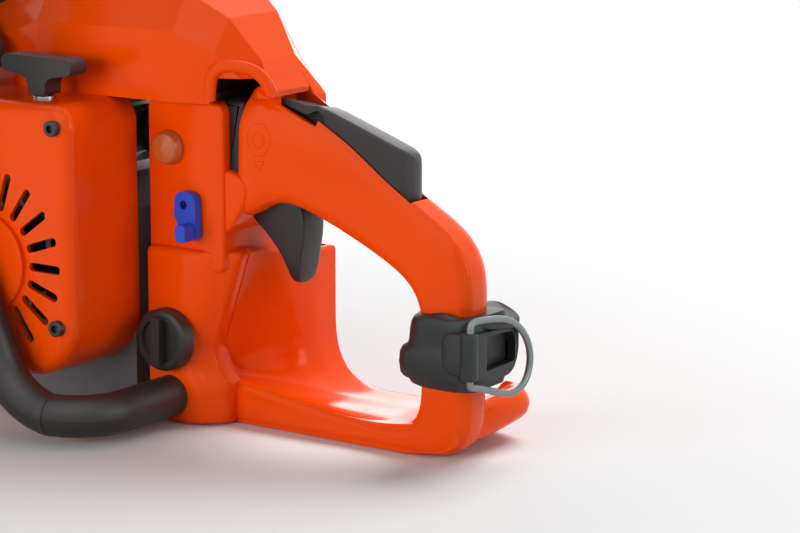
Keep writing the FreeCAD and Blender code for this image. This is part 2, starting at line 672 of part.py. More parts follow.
def bar_edges(clearance, tail):
    """The bar's outline, grown or shrunk: bellied rails, a round nose and a narrower tail."""
    axis = S.crank_height
    half = S.bar_half_height + clearance
    belly = half + S.bar_belly
    nose = S.nose_radius + clearance
    tip = -S.bar_nose - nose
    start, middle = -S.stud_rear, -(S.stud_rear + S.bar_nose) / 2
    top = [Vector(tail, axis + half - 8), Vector(start, axis + half), Vector(middle, axis + belly),
           Vector(-S.bar_nose, axis + nose)]
    low = [Vector(p.x, 2 * axis - p.y) for p in top]
    return [Part.LineSegment(top[0], top[1]), Part.Arc(top[1], top[2], top[3]),
            Part.Arc(top[3], Vector(tip, axis), low[3]), Part.Arc(low[3], low[2], low[1]),
            Part.LineSegment(low[1], low[0]), Part.LineSegment(low[0], top[0])]


def bar_blank(clearance, tail, y_from, y_to):
    body = doc.addObject("PartDesign::Body", "BarBlank")
    grown = body.newObject("PartDesign::Pad", "Pad")
    grown.Profile = sketch_on(body, "XZ_Plane", bar_edges(clearance, tail))
    bind(grown, "Length", "(%s) - (%s)" % (y_to, y_from))
    return put(body, 0, y_to, 0)


def guide_bar():
    """A bar with a groove for the drive links, a mounting slot and a sprocket nose."""
    blank = bar_blank(-0.6, -S.bar_tail, "bar_plane - bar_thickness / 2", "bar_plane + bar_thickness / 2")
    layer = bar_blank(2, -S.bar_tail + 2, "bar_plane - groove_width / 2", "bar_plane + groove_width / 2")
    core = bar_blank(-S.groove_depth, -S.bar_tail, "bar_plane - groove_width", "bar_plane + groove_width")
    groove = cut(layer, core)
    slot = side_plate([(-S.stud_front - 5, S.crank_height - 4.2, 4), (-S.stud_front - 5, S.crank_height + 4.2, 4),
                       (-S.stud_rear + 5, S.crank_height + 4.2, 4), (-S.stud_rear + 5, S.crank_height - 4.2, 4)],
                      "bar_plane - 10", "bar_plane + 10", "Slot")
    adjuster = cylinder("3.2", "20", TENSIONER_X, "bar_plane - 10", "crank_height - tensioner_drop", "y")
    oil_hole = cylinder("1.6", "20", -84, "bar_plane - 10", "crank_height + 16", "y")
    nose_room = cylinder("nose_radius - 6", "groove_width", "-bar_nose", "bar_plane - groove_width / 2", "crank_height", "y")
    lightening = side_plate([(-340, S.crank_height - 8, 7.5), (-340, S.crank_height + 8, 7.5), (-180, S.crank_height + 8, 7.5),
                             (-180, S.crank_height - 8, 7.5)], "bar_plane + bar_thickness / 2 - 0.4", "bar_plane + 5", "Relief")
    node(cut(blank, groove, slot, adjuster, oil_hole, nose_room, lightening), "guide_bar")
    wheel = cylinder("nose_radius - 10", "groove_width", "-bar_nose", "bar_plane - groove_width / 2", "crank_height", "y")
    tooth = side_plate([(-S.bar_nose - 2.4, S.crank_height + 9), (-S.bar_nose - 0.8, S.crank_height + S.nose_radius - 6.4),
                        (-S.bar_nose + 0.8, S.crank_height + S.nose_radius - 6.4), (-S.bar_nose + 2.4, S.crank_height + 9)],
                       "bar_plane - groove_width / 2 + 0.1", "bar_plane + groove_width / 2 - 0.1", "Tooth")
    teeth = around(tooth, 9, -S.bar_nose, 0, S.crank_height)
    node(fuse(wheel, teeth), "nose_sprocket")


def pitch_line():
    """The closed line through the chain's rivets, from the sprocket over the bar's top and back."""
    axis, radius = S.crank_height, sprocket_radius()
    top = bar_edges(S.link_seat, -S.bar_tail)
    lift = Vector(-S.stud_rear, S.bar_half_height + S.link_seat)
    angle = math.atan2(lift.y, lift.x) - math.acos(radius / lift.Length)
    touch = Vector(radius * math.cos(angle), axis + radius * math.sin(angle))
    mirror = Vector(touch.x, 2 * axis - touch.y)
    high, low = Vector(lift.x, axis + lift.y), Vector(lift.x, axis - lift.y)
    flat = [Part.LineSegment(touch, high), top[1], top[2], top[3], Part.LineSegment(low, mirror),
            Part.Arc(mirror, Vector(radius, axis), touch)]
    wire = Part.Wire([edge.toShape() for edge in flat])
    wire.rotate(Vector(), AXIS["x"], 90)
    return wire


def rivet_places():
    """Evenly spaced rivet centres, in the order in which the chain runs."""
    count = 2 * int(S.drive_link_count)
    places = pitch_line().discretize(Number=count + 1)[:-1]
    if places[1].x > places[0].x:
        places.reverse()
    return places


def link_frame(start, end):
    """Placement of a link drawn from its first rivet, with X along the chain and Z outward."""
    along = (end - start).normalize()
    outward = Vector(along.z, 0, -along.x)
    return Placement(start + Vector(0, S.bar_plane, 0), Rotation(along, outward.cross(along), outward, "XYZ"))


def saw_chain():
    """Drive links between pairs of tie straps, every second pair with a cutter on one side."""
    places = rivet_places()
    count = len(places)
    pitch = (places[1] - places[0]).Length
    gauge, side = S.link_gauge / 2, S.link_side
    drive = side_plate([(-3.2, 0), (-1.6, S.link_above), (pitch + 1.6, S.link_above), (pitch + 3.2, 0), (pitch + 2, -3),
                        (pitch * 0.6, -S.tang_depth), (pitch * 0.3, -S.tang_depth), (-2, -3)], -gauge, gauge, "DriveLink")
    foot = -S.link_seat + 0.05
    strap = side_plate([(-3.2, 0), (-1.7, 2.8), (pitch + 1.7, 2.8), (pitch + 3.2, 0), (pitch + 1.9, foot), (-1.9, foot)],
                       str(gauge), str(gauge + side), "TieStrap")
    plate = side_plate([(-3.4, foot + 0.6), (-3.9, 5), (3, 6), (3.8, 3.2), (pitch - 1.4, 3.2), (pitch + 0.4, 7.6),
                        (pitch + 3, 7.2), (pitch + 3.3, 0), (pitch + 1.9, foot), (-1.9, foot)],
                       str(gauge), str(gauge + side), "CutterSide")
    rise, reach = S.cutter_height, S.cutter_reach
    hood = pad("YZ_Plane", [(gauge, 4.4), (gauge + side, 4.4), (reach, 6.6), (reach, rise), (-0.4, rise), (-0.4, rise - 0.9),
                            (reach - 1.1, rise - 0.9), (reach - 1.1, 7), (gauge, 5.6)], 6.9, -3.9, 0, 0, "CutterTop")
    cutter = fuse(plate, hood)
    doc.recompute()
    mirrored = [strap.Shape.mirror(Vector(), AXIS["y"]), cutter.Shape.mirror(Vector(), AXIS["y"])]
    masters = {"strap": (strap.Shape, mirrored[0]), "cutter": (cutter.Shape, mirrored[1])}
    drives, straps, cutters = [], [], []

    def copy(shape, index):
        moved = shape.copy()
        moved.Placement = link_frame(places[index], places[(index + 1) % count]).multiply(moved.Placement)
        return moved

    for i in range(0, count, 2):
        drives.append(copy(drive.Shape, i))
        number = i // 2
        cutting_side = (number // 2) % 2 if number % 2 == 0 else None
        for hand in (0, 1):
            kind = "cutter" if hand == cutting_side else "strap"
            (cutters if kind == "cutter" else straps).append(copy(masters[kind][hand], i + 1))
    node(feature(Part.makeCompound(drives), "DriveLinks"), "chain_drive_links")
    node(feature(Part.makeCompound(straps), "TieStraps"), "chain_tie_straps")
    node(feature(Part.makeCompound(cutters), "Cutters"), "chain_cutters")


def bar_mount():
    """Studs, nuts, chain tensioner, bumper spikes, chain catcher and clutch cover."""
    places = ("stud_front", "stud_rear")
    node(group(*[cylinder("stud_radius", "clutch_cover_face + 7 - (bar_plane - 22)", "-" + place, "bar_plane - 22",
                          "crank_height", "y") for place in places]), "bar_studs")
    nuts = []
    for place in places:
        centre = getattr(S, place)
        hexagon = [(-centre + 7.5 * math.cos(math.radians(60 * k)), S.crank_height + 7.5 * math.sin(math.radians(60 * k)))
                   for k in range(6)]
        nut = fuse(side_plate(hexagon, "clutch_cover_face", "clutch_cover_face + 8", "Nut"),
                   cylinder("9", "1.6", "-" + place, "clutch_cover_face", "crank_height", "y"))
        nuts.append(cut(nut, cylinder("stud_radius", "20", "-" + place, "clutch_cover_face - 4", "crank_height", "y")))
    node(group(*nuts), "bar_nuts")
    level = S.crank_height - S.tensioner_drop
    slider = side_plate(above(level, [(-64, -5, 1.5), (-64, 4, 1.5), (-52, 4, 1.5), (-52, -5, 1.5)]),
                        "bar_plane + bar_thickness / 2", "bar_plane + 8", "Slider")
    peg = cylinder("2.9", "9", TENSIONER_X, "bar_plane - 5", level, "y")
    screw = cylinder("2.5", "27", TENSIONER_X + 8, "bar_plane + 5.2", level, "x")
    node(fuse(slider, peg, screw), "chain_tensioner")
    front, axis = -case_pad()[0], S.crank_height
    teeth = above(axis, [(front, -27, 0), (front, 39, 2), (front - 18, 41), (front - 7, 29), (front - 17, 21), (front - 7, 11),
                         (front - 17, 2), (front - 7, -7), (front - 16, -17), (front - 6, -25)])
    node(side_plate(teeth, 52, 56, "Spikes"), "spiked_bumper")
    catcher = side_plate(above(axis, [(-62, -65, 4), (-62, -53, 3), (-44, -51, 3), (-44, -65, 4)]), "case_right", "bar_plane + 10", "Catcher")
    node(catcher, "chain_catcher")
    face = S.clutch_cover_face
    outline = above(axis, [(-114, -21, 10), (-114, 21, 12), (-40, 42, 14), (22, 42, 28), (46, 23, 22), (46, -29, 22), (22, -45, 18),
               (-62, -45, 12)])
    room = above(axis, [(-111, -19, 8), (-111, 19, 10), (-40, 39, 12), (20, 39, 26), (43, 22, 20), (43, -27, 20), (21, -42, 16),
            (-61, -42, 10)])
    rear = above(axis, [(-40, -45, 0), (-40, 42, 0), (22, 42, 28), (46, 23, 22), (46, -29, 22), (22, -45, 18)])
    rear_room = above(axis, [(-50, -42, 0), (-50, 39, 0), (20, 39, 26), (43, 22, 20), (43, -27, 20), (21, -42, 16)])
    shell = side_plate(outline, "bar_plane + 4.5", "clutch_cover_face", "CoverShell")
    shell = round_edges(shell, 5, lambda e: abs(e.BoundBox.YMin - face) < 0.01 and abs(e.BoundBox.YMax - face) < 0.01)
    skirt = side_plate(rear, "case_right", "bar_plane + 6", "CoverSkirt")
    inside = side_plate(room, "bar_plane", "clutch_cover_face - 3", "CoverRoom")
    inside_rear = side_plate(rear_room, "case_right - 1", "bar_plane + 7", "CoverRearRoom")
    boss = side_plate(above(axis, [(-104, -15, 6), (-104, 17, 6), (-58, 17, 6), (-58, -5, 3), (-74, -5, 3), (-74, -15, 3)]),
                      "bar_plane + bar_thickness / 2", "clutch_cover_face - 1", "NutBoss")
    ribs = [side_plate(above(axis, [(x, -37), (x, -29), (x + 34, 37), (x + 37, 37), (x + 4, -31), (x + 3, -37)]), "clutch_cover_face - 1",
                       "clutch_cover_face + 1.5", "Rib") for x in (-38, -24, -10)]
    holes = [cylinder("stud_radius", "80", "-" + place, "bar_plane", "crank_height", "y") for place in places]
    seats = [cylinder("9.2", "20", "-" + place, "clutch_cover_face", "crank_height", "y") for place in places]
    screw_hole = cylinder("2.5", "60", TENSIONER_X, "bar_plane + 5.2", level, "x")
    node(cut(fuse(cut(shell, inside), cut(skirt, inside_rear), boss, *ribs), *holes, *seats, screw_hole), "clutch_cover")


# ---- rear handle, tank and controls ----

def grip_height(x):
    """Height of the grip's upper edge, which slopes down to the rear."""
    return S.grip_top_front - S.grip_slope * (x - 135)


def bent_path(corners):
    """An open path through (x, y, z, radius) corners, with an arc at each inner corner."""
    points = [Vector(*corner[:3]) for corner in corners]
    edges = []
    last = points[0]
    for i in range(1, len(points) - 1):
        back = (points[i - 1] - points[i]).normalize()
        ahead = (points[i + 1] - points[i]).normalize()
        half = back.getAngle(ahead) / 2
        radius = corners[i][3]
        start = points[i] + back * (radius / math.tan(half))
        end = points[i] + ahead * (radius / math.tan(half))
        middle = points[i] + (back + ahead).normalize() * (radius / math.sin(half) - radius)
        edges.append(Part.makeLine(last, start))
        edges.append(Part.Arc(start, middle, end).toShape())
        last = end
    edges.append(Part.makeLine(last, points[-1]))
    return Part.Wire(edges)


def round_tube(corners, radius):
    """A round bar along a bent path."""
    path = bent_path(corners)
    first = Vector(*corners[0][:3])
    along = Vector(*corners[1][:3]) - first
    profile = Part.Wire(Part.makeCircle(radius, first, along))
    return path.makePipeShell([profile], True, False)


def section(x, corners):
    """A closed section across the saw at a station x, from (y, z, radius) corners."""
    wire = Part.Wire([edge.toShape() for edge in rounded(corners)])
    wire.rotate(Vector(), Vector(1, 1, 1), 120)
    wire.translate(Vector(x, 0, 0))
    return wire


def cross_section(y, corners):
    """A closed section along the saw at a station y, from (x, z, radius) corners."""
    wire = Part.Wire([edge.toShape() for edge in rounded(corners)])
    wire.rotate(Vector(), AXIS["x"], 90)
    wire.translate(Vector(0, y, 0))
    return wire


def rear_handle():
    """One moulding: fuel tank, carburettor box, grip, rear post and hand guard floor."""
    slope_end = grip_height(S.post_rear)
    corner_y = 7 - S.grip_left - 14
    tank = plan_plate([(S.tank_front, -S.tank_left, 6), (S.tank_rear - 26, -S.tank_left, 10), (S.tank_rear, corner_y, 5),
                       (S.tank_rear, S.tank_right, 5), (S.tank_front, S.tank_right, 6)], "0", "tank_top", "Tank")
    tank = round_edges(tank, 3, lambda edge: edge.BoundBox.ZMin > S.tank_top - 0.01)
    loop = side_plate([(100, 0), (S.post_rear, 0, 29), (S.post_rear, slope_end, 30), (140, grip_height(140), 16),
                       (104, S.box_top)], "-grip_left", "grip_right", "Loop")
    opening = side_plate([(108, 25.4, 4), (S.post_front, 14, 14), (S.post_front, 88, 24), (150, 129, 22), (112, 116, 4)],
                         "-grip_left - 30", "grip_right + 30", "HandOpening")
    ring = cut(loop, opening)
    sides = (-S.grip_left, S.grip_right)

    def along_side(edge):
        span = edge.BoundBox
        return span.YLength < 0.01 and min(abs(span.YMin - side) for side in sides) < 0.01 and span.XMax > 134

    ring = round_edges(ring, 6.5, along_side)
    wide = [(-S.box_left, 118, 8), (-S.box_left, S.box_top - 1, 8), (S.box_right, S.box_top - 1, 8), (S.box_right, 118, 8)]
    slim = [(-S.grip_left + 1, 128, 8), (-S.grip_left + 1, 166, 8), (S.grip_right - 1, 166, 8), (S.grip_right - 1, 128, 8)]
    flare = feature(Part.makeLoft([section(S.box_rear - 2, wide), section(178, slim)], True, True), "Flare")
    floor = S.guard_floor
    guard = side_plate([(118, 0), (118, S.tank_top - 1, 0), (S.tank_rear, S.tank_top - 1, 3), (S.tank_rear, floor, 42),
                        (200, floor, 80), (262, floor + 13, 3), (268, floor - 2, 4), (236, 0, 12)],
                       "grip_right - 8", "guard_right", "GuardFloor")
    corner = plan_plate([(90, -30), (90, S.guard_right), (269, S.guard_right, 22), (269, -30)], -5, "tank_top + 5", "GuardPlan")
    filling = side_plate([(100, 0), (100, 60), (150, 60), (228, 13.5), (228, 0)], "-grip_left", "40", "FloorFilling")
    scoop = feature(Part.makeLoft([cross_section(y, corners) for y, corners in (
        (-45, [(228, 14.2), (90, 27, 14), (124, 101), (150, 101)]),
        (0, [(228, 13.8), (110, 23, 26), (131, 101), (150, 101)]),
        (41, [(228, 13.4), (132.6, 12, 42), (132.6, 101), (150, 101)]))], True, False), "Scoop")
    heel = plan_plate([(98, -70), (98, -S.tank_left - 0.5), (124, -S.grip_left), (170, -S.grip_left), (170, -70)], -1, 60, "Heel")
    box_outer = plan_plate([(S.tank_front, -S.box_left, 4), (S.box_rear, -S.box_left, 4), (S.box_rear, S.box_right, 4),
                            (S.tank_front, S.box_right, 4)], "tank_top - 4", "box_top", "CarbBox")
    box_room = box("tank_front - 4", "box_rear - box_wall", "box_wall - box_left", "box_right - box_wall", "tank_top",
                   "box_top + 4")
    middle = "(grip_right - grip_left) / 2"
    half_trigger = "(trigger_width / 2 + slot_gap)"
    trigger_slot = side_plate([(106, 108), (106, 156), (168, 156), (174, 112), (160, 104)], "%s - %s" % (middle, half_trigger),
                              "%s + %s" % (middle, half_trigger), "TriggerSlot")
    half_lockout = "(lockout_width / 2 + slot_gap)"
    lockout_slot = side_plate([(140, 205), (140, 172, 4), (160, 165, 3), (241.5, 113, 3), (241.5, 205)],
                              "%s - %s" % (middle, half_lockout), "%s + %s" % (middle, half_lockout), "LockoutSlot")
    pins = [cylinder("lever_pin_radius", "grip_right + grip_left - 4", x, "2 - grip_left", z, "y")
            for x, z in (("trigger_x", "trigger_z"), ("lockout_x", "lockout_z"))]
    neck = cylinder("cap_radius - 5", "20", FUEL_CAP[0], "-tank_left - 1", FUEL_CAP[1], "y")
    primer = cylinder("10.6", "20", "primer_x", "-box_left - 8", "primer_z", "y")
    choke_pin = cylinder("lever_pin_radius", "8", "choke_x", "-box_left - 7", "choke_z", "y")
    gap = box("tank_rear - 9", "tank_rear - 2", "-box_left - 10", "-grip_left - 2", 145, "box_top + 20")
    foot = cut(fuse(cut(tank, heel), ring, common(guard, corner), filling), scoop)
    solid = fuse(foot, flare, box_outer)
    node(fuse(cut(solid, box_room, trigger_slot, lockout_slot, neck, primer, gap, *pins), choke_pin), "rear_handle_tank")


def controls():
    """Throttle trigger and lockout with their pins, choke lever, primer bulb and caps."""
    middle = "(grip_right - grip_left) / 2"
    pin_hole = cylinder("lever_pin_radius + running_fit", "80", "trigger_x", -40, "trigger_z", "y")
    trigger = side_plate([(118, 122, 5), (132, 113, 12), (139, 100, 14), (144.5, 85, 3.5), (150, 86, 3), (151, 106, 12),
                          (155, 128, 6), (141, 150, 8), (119, 150, 8)], "%s - trigger_width / 2" % middle,
                         "%s + trigger_width / 2" % middle, "Trigger")
    sides = ((S.grip_right - S.grip_left) / 2 - S.trigger_width / 2, (S.grip_right - S.grip_left) / 2 + S.trigger_width / 2)

    def rim(edge):
        span = edge.BoundBox
        return span.YLength < 0.01 and min(abs(span.YMin - side) for side in sides) < 0.01

    node(cut(round_edges(trigger, 2, rim), pin_hole), "throttle_trigger")
    lockout = side_plate([(143, 187, 2), (147, 194, 2), (158, 194.5, 6), (233, 169, 7), (240, 160, 6), (237, 140, 1),
                          (226, 141, 1), (168, 172, 4), (152, 174, 4), (143.5, 178, 4)], "%s - lockout_width / 2" % middle,
                         "%s + lockout_width / 2" % middle, "Lockout")
    lock_hole = cylinder("lever_pin_radius + running_fit", "80", "lockout_x", -40, "lockout_z", "y")
    low = (S.grip_right - S.grip_left) / 2 - S.lockout_width / 2
    high = low + S.lockout_width
    crown = feature(Part.makeLoft([section(x, [(low - 1, 120), (low - 1, top - 12), (low, top - 9, 5), (low + 5, top + 1, 4),
                                               (high - 7, top, 5), (high, top - 6, 4), (high + 1, top - 8), (high + 1, 120)])
                                   for x, top in ((136, 201), (246, 164.4))], True, True), "Crown")
    node(cut(common(lockout, crown), lock_hole), "throttle_lockout")
    node(group(*[cylinder("lever_pin_radius", "grip_right + grip_left - 4", x, "2 - grip_left", z, "y")
                 for x, z in (("trigger_x", "trigger_z"), ("lockout_x", "lockout_z"))]), "lever_pins")
    lever = side_plate([(S.choke_x - 7, S.choke_z - 7, 6), (S.choke_x - 6, S.choke_z + 8, 6), (S.choke_x + 8, S.choke_z + 7, 6),
                        (S.choke_x + 9, S.choke_z - 20, 4), (S.choke_x + 1, S.choke_z - 21, 4)], "-box_left - 6",
                       "-box_left - 0.4", "ChokeLever")
    tab = side_plate([(S.choke_x + 1, S.choke_z - 20, 2), (S.choke_x + 1, S.choke_z - 10, 2), (S.choke_x + 8, S.choke_z - 10, 2),
                      (S.choke_x + 8, S.choke_z - 20, 2)], "-box_left - 15", "-box_left - 5", "ChokeTab")
    hole = cylinder("lever_pin_radius + running_fit", "30", "choke_x", "-box_left - 12", "choke_z", "y")
    node(cut(fuse(lever, tab), hole), "choke_lever")
    bulb = turned([(0, 0), (10, 0), (10, 4), (8.5, 9, 3), (0, 11)], "primer_x", "-box_left + 2", "primer_z", "-y", "Bulb")
    node(bulb, "primer_bulb")
    for label, x, face, z in (("fuel_cap", FUEL_CAP[0], "-tank_left", FUEL_CAP[1]), ("oil_cap", OIL_CAP[0], "-case_left", OIL_CAP[1])):
        cap = turned([(0, 0.4), (S.cap_radius, 0.4), (S.cap_radius, S.cap_height - 4, 3), (S.cap_radius - 5, S.cap_height - 4),
                      (S.cap_radius - 6, S.cap_height - 6), (0, S.cap_height - 6)], x, face, z, "-y", "Cap")
        wing = side_plate([(x - 3, z - S.cap_radius + 4, 2), (x - 3, z + S.cap_radius - 4, 2), (x + 3, z + S.cap_radius - 4, 2),
                           (x + 3, z - S.cap_radius + 4, 2)], "%s - cap_height" % face, "%s - 5" % face, "Wing")
        plug = cylinder("cap_radius - 5.5", "9", x, "%s - 1" % face, z, "y")
        node(fuse(cap, wing, plug), label)


def lanyard():
    """Clamp round the rear post with a slotted strap box and a swinging ring."""
    left, right, rear = -S.grip_left - S.clamp_wall, S.grip_right + S.clamp_wall, S.clamp_rear
    front = S.post_front - S.clamp_wall + 1
    collar = plan_plate([(front, left, 14), (front, right, 14), (rear, right, 8), (rear, left, 3)], "clamp_bottom",
                        "clamp_top", "Collar")
    web = box("clamp_rear - 6", "ring_plane", HINGE_Y - 2, HINGE_Y + 5, 55, 69)
    band = plan_plate([(front - 5, left - 4, 16), (front - 5, right + 4, 16), (rear - 8, right + 4, 10), (rear - 8, left - 4, 10)],
                      "clamp_bottom + 8", "clamp_bottom + 25", "Band")
    wing = plan_plate([(rear - 16, left + 4, 3), (rear - 16, right + 9, 8), (rear, right + 9, 6), (rear, left + 4, 3)],
                      "clamp_top - 3", "clamp_top + 0.5", "Wing")
    slot = pad("YZ_Plane", [(left + 15, 52, 3), (right - 4, 52, 3), (right - 4, 71, 3), (left + 15, 71, 3)],
               "clamp_rear - post_rear + 2", "post_rear + 1", 0, 0, "StrapSlot")
    side_slot = box("post_rear + 1.5", "clamp_rear - 3", right - 10, right + 10, 54, 69)
    barrel = cylinder("4.4", "14", "ring_plane", HINGE_Y, 55)
    clear_top = cylinder("5.6", "20", "ring_plane", HINGE_Y, 69.4)
    clear_low = cylinder("5.6", "20", "ring_plane", HINGE_Y, 34.6)
    bore = cylinder("ring_wire + running_fit", "60", "ring_plane", HINGE_Y, 30)
    blank = cut(fuse(collar, band, wing), slot, side_slot, clear_top, clear_low)
    holes = [cylinder("2", "20", 255, right - 7, z, "y") for z in CLAMP_SCREWS]
    handle = [thing for thing in NODES if thing.Label == "rear_handle_tank"][0]
    node(cut(fuse(blank, web, barrel), bore, handle, *holes), "lanyard_clamp")
    plane = S.ring_plane
    loop = round_tube([(plane, HINGE_Y, 65, 0), (plane, HINGE_Y, 79.5, 4), (plane, 4, 80, 16), (plane, 32, 62, 16),
                       (plane, 31, 37, 10), (plane, 6, 35, 20), (plane, HINGE_Y, 46, 4), (plane, HINGE_Y, 59, 0)], S.ring_wire)
    node(feature(loop, "Ring"), "lanyard_ring")


HINGE_Y = -29


# ---- covers and front handle ----

def hood_sections(inset):
    """Faceted sections of the top cover, from front to rear, shrunk by an inset."""
    base = S.box_top
    rows = ((-S.hood_front, 46, 48, base + 22, S.hood_top - 20), (0, S.hood_left, S.hood_right, base + 40, S.hood_top),
            (96, 47, 42, base + 40, S.hood_top - 3), (120, 40, 32, base + 29, S.hood_top - 17),
            (138, 34, 25, base + 12, base + 24), (152, 29, 20, base + 3, base + 4))
    low = S.box_top - (6 if inset else 0)
    wires = []
    for i, (x, left, right, shoulder, top) in enumerate(rows):
        step = inset if i == 0 else (-inset if i == len(rows) - 1 else 0)
        lean = min(14, (top - shoulder) * 1.2)
        left, right, shoulder, top = left - inset, right - inset, shoulder - inset / 2, top - inset
        wires.append(section(x + step, [(-left, low), (-left, shoulder), (-left + lean, top), (right - lean, top),
                                        (right, shoulder), (right, low)]))
    return wires


def hood():
    """Top cover over the engine and the air filter, arched over the front of the grip."""
    shell = feature(Part.makeLoft(hood_sections(0), True, True), "HoodOuter")
    room = feature(Part.makeLoft(hood_sections(S.hood_wall), True, True), "HoodInner")
    arch = side_plate(above(S.box_top, [(117, -8), (117, 15, 6), (150, 15, 10), (165, -8)]), "-hood_left - 10", "grip_right + 0.8", "Arch")
    skirt = side_plate([(-34, S.tube_foot), (-34, S.box_top + 4, 0), (58, S.box_top + 4, 0), (58, S.tube_foot, 20)],
                       "hood_right - hood_wall", "hood_right", "Skirt")
    holes = [cylinder("2.6", "90", x, y, "box_top - 8") for x, y in HOOD_SCREWS]
    low, high = S.tube_foot + 8, S.box_top - 6
    vents = [side_plate([(8 + 9 * k, low, 1.9), (14 + 9 * k, high, 1.9), (18 + 9 * k, high, 1.9), (12 + 9 * k, low, 1.9)],
                        "hood_right - 8", "hood_right + 5", "SideVent") for k in range(4)]
    node(cut(fuse(cut(shell, room, arch), skirt), *holes, *vents), "top_cover")


def housing_screws():
    """Screws of the starter cover, the top cover and the lanyard clamp."""
    starter = screws(starter_screws(), 2.5, "starter_depth - case_left", "y",
                     "-starter_depth")
    hood_set = [fuse(cylinder("2.6", "hood_top - (%s)" % top_fin(), x, y, top_fin()),
                     cylinder("4.5", "3", x, y, "hood_top")) for x, y in HOOD_SCREWS]
    side = S.grip_right + S.clamp_wall
    clamp_set = [fuse(cylinder("2", "7", 255, side - 7, z, "y"), cylinder("3.6", "2.4", 255, side, z, "y"))
                 for z in CLAMP_SCREWS]
    node(group(starter, *hood_set, *clamp_set), "housing_screws")


CLAMP_SCREWS = (42, 77)
HOOD_SCREWS = ((-2, -28), (-2, 28), (-26, 0))


def top_fin():
    return str(S.case_top + 4 + (S.fin_count - 1) * S.fin_pitch + S.fin_thickness)


def front_handle():
    """A bent tube round the left side, over the top and down to the right."""
    x, left, right, top = S.tube_x, -S.tube_left, S.tube_right, S.tube_top
    foot, rear = 16, S.tank_front + 20
    tube = round_tube([(rear, -S.tank_left, foot, 0), (rear, left, foot, 30), (34, left, foot, 44), (x, left, S.crank_height + 35, 70),
                       (x, left, top, 44), (x, right, top, 44), (x, right, S.tube_foot, 0)], S.tube_radius)
    node(feature(tube, "FrontTube"), "front_handle")


def front_guard():
    """Front hand guard on two side arms, with a window for sight."""
    px, pz = S.guard_pivot_x, S.guard_pivot_z
    blade = side_plate(above(pz, [(-67.5, 2, 0), (-60, 39, 60), (-64, 100, 2), (-68, 100, 2), (-65, 39, 60), (-72.5, 2, 0)]),
                       "-tube_left + 6", "66", "Blade")
    face = pad("YZ_Plane", above(pz, [(-S.tube_left + 6, 22, 14), (-S.tube_left + 10, 100, 26), (60, 100, 26), (66, 6, 6), (-62, 6, 6)]),
               60, -100, 0, 0, "GuardFace")
    window = pad("YZ_Plane", above(pz, [(-84, 42, 9), (-80, 82, 12), (40, 82, 12), (46, 42, 9)]), 80, -110, 0, 0, "Window")
    bars = [box(-66, -62.5, y, y + 6, pz + 38, pz + 86) for y in (-44, -2)]
    arm = [(px + 8, pz - 8, 7), (px + 8, pz + 8, 7), (-62, pz + 30, 3), (-68, pz + 26, 3), (-70, pz + 10, 3), (-62, pz + 6, 6), (px - 8, pz - 8, 7)]
    left = side_plate(arm, "-60.6", "-56.6", "ArmLeft")
    right = side_plate(arm, "60.4", "64.4", "ArmRight")
    holes = cylinder("guard_pin_radius + running_fit", "160", "guard_pivot_x", -80, "guard_pivot_z", "y")
    node(cut(fuse(cut(common(blade, face), window), *bars, left, right), holes), "hand_guard")


def mounts():
    """Rubber buffers between the engine and the handle unit."""
    discs = [cylinder("11", "tank_front - case_rear", "case_rear", y, z, "x") for y, z in ((-20, 30), (24, 30), (0, 84))]
    node(group(*discs), "av_buffers")


def build():
    crankcase()
    crank_train()
    cylinder_block()
    intake_and_exhaust()
    flywheel_and_starter()
    clutch()
    guide_bar()
    saw_chain()
    bar_mount()
    rear_handle()
    controls()
    lanyard()
    hood()
    housing_screws()
    front_handle()
    front_guard()
    mounts()
    doc.recompute()


def check():
    """Stop if any object failed or any sub-part is not a valid solid."""
    failed = [thing.Label for thing in doc.Objects if {"Invalid", "Error"} & set(thing.State)]
    for thing in NODES:
        shape = thing.Shape
        if shape.isNull() or not shape.isValid() or not shape.Solids:
            failed.append(thing.Label)
    if failed:
        raise RuntimeError("failed: " + ", ".join(failed))


def write():
    os.makedirs("parts", exist_ok=True)
    for thing in NODES:
        thing.Shape.exportStep("parts/%s.step" % thing.Label)
        print("%-24s %3d solids %9.0f mm3" % (thing.Label, len(thing.Shape.Solids), thing.Shape.Volume))


build()
check()
write()
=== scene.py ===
import json
import math

import bmesh
import bpy
import numpy as np
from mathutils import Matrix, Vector


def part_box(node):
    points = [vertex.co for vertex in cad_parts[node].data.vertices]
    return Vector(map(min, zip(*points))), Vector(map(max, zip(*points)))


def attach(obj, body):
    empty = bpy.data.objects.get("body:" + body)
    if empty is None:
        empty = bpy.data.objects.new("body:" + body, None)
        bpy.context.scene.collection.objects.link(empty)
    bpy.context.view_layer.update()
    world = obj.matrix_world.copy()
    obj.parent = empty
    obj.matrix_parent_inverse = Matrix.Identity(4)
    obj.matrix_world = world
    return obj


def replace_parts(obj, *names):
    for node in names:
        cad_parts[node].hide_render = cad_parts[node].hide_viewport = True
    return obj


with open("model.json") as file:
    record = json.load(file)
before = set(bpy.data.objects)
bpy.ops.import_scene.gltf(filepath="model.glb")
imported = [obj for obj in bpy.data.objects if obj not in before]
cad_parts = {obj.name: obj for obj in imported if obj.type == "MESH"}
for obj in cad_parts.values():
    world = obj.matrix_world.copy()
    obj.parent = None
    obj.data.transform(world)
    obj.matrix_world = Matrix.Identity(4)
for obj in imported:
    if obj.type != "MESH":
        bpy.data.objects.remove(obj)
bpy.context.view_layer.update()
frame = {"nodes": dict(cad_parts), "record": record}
nodes = frame["nodes"]
MM = 0.001
SOFT_EDGE = 0.0006

# ---- stage: camera, light and floor ----

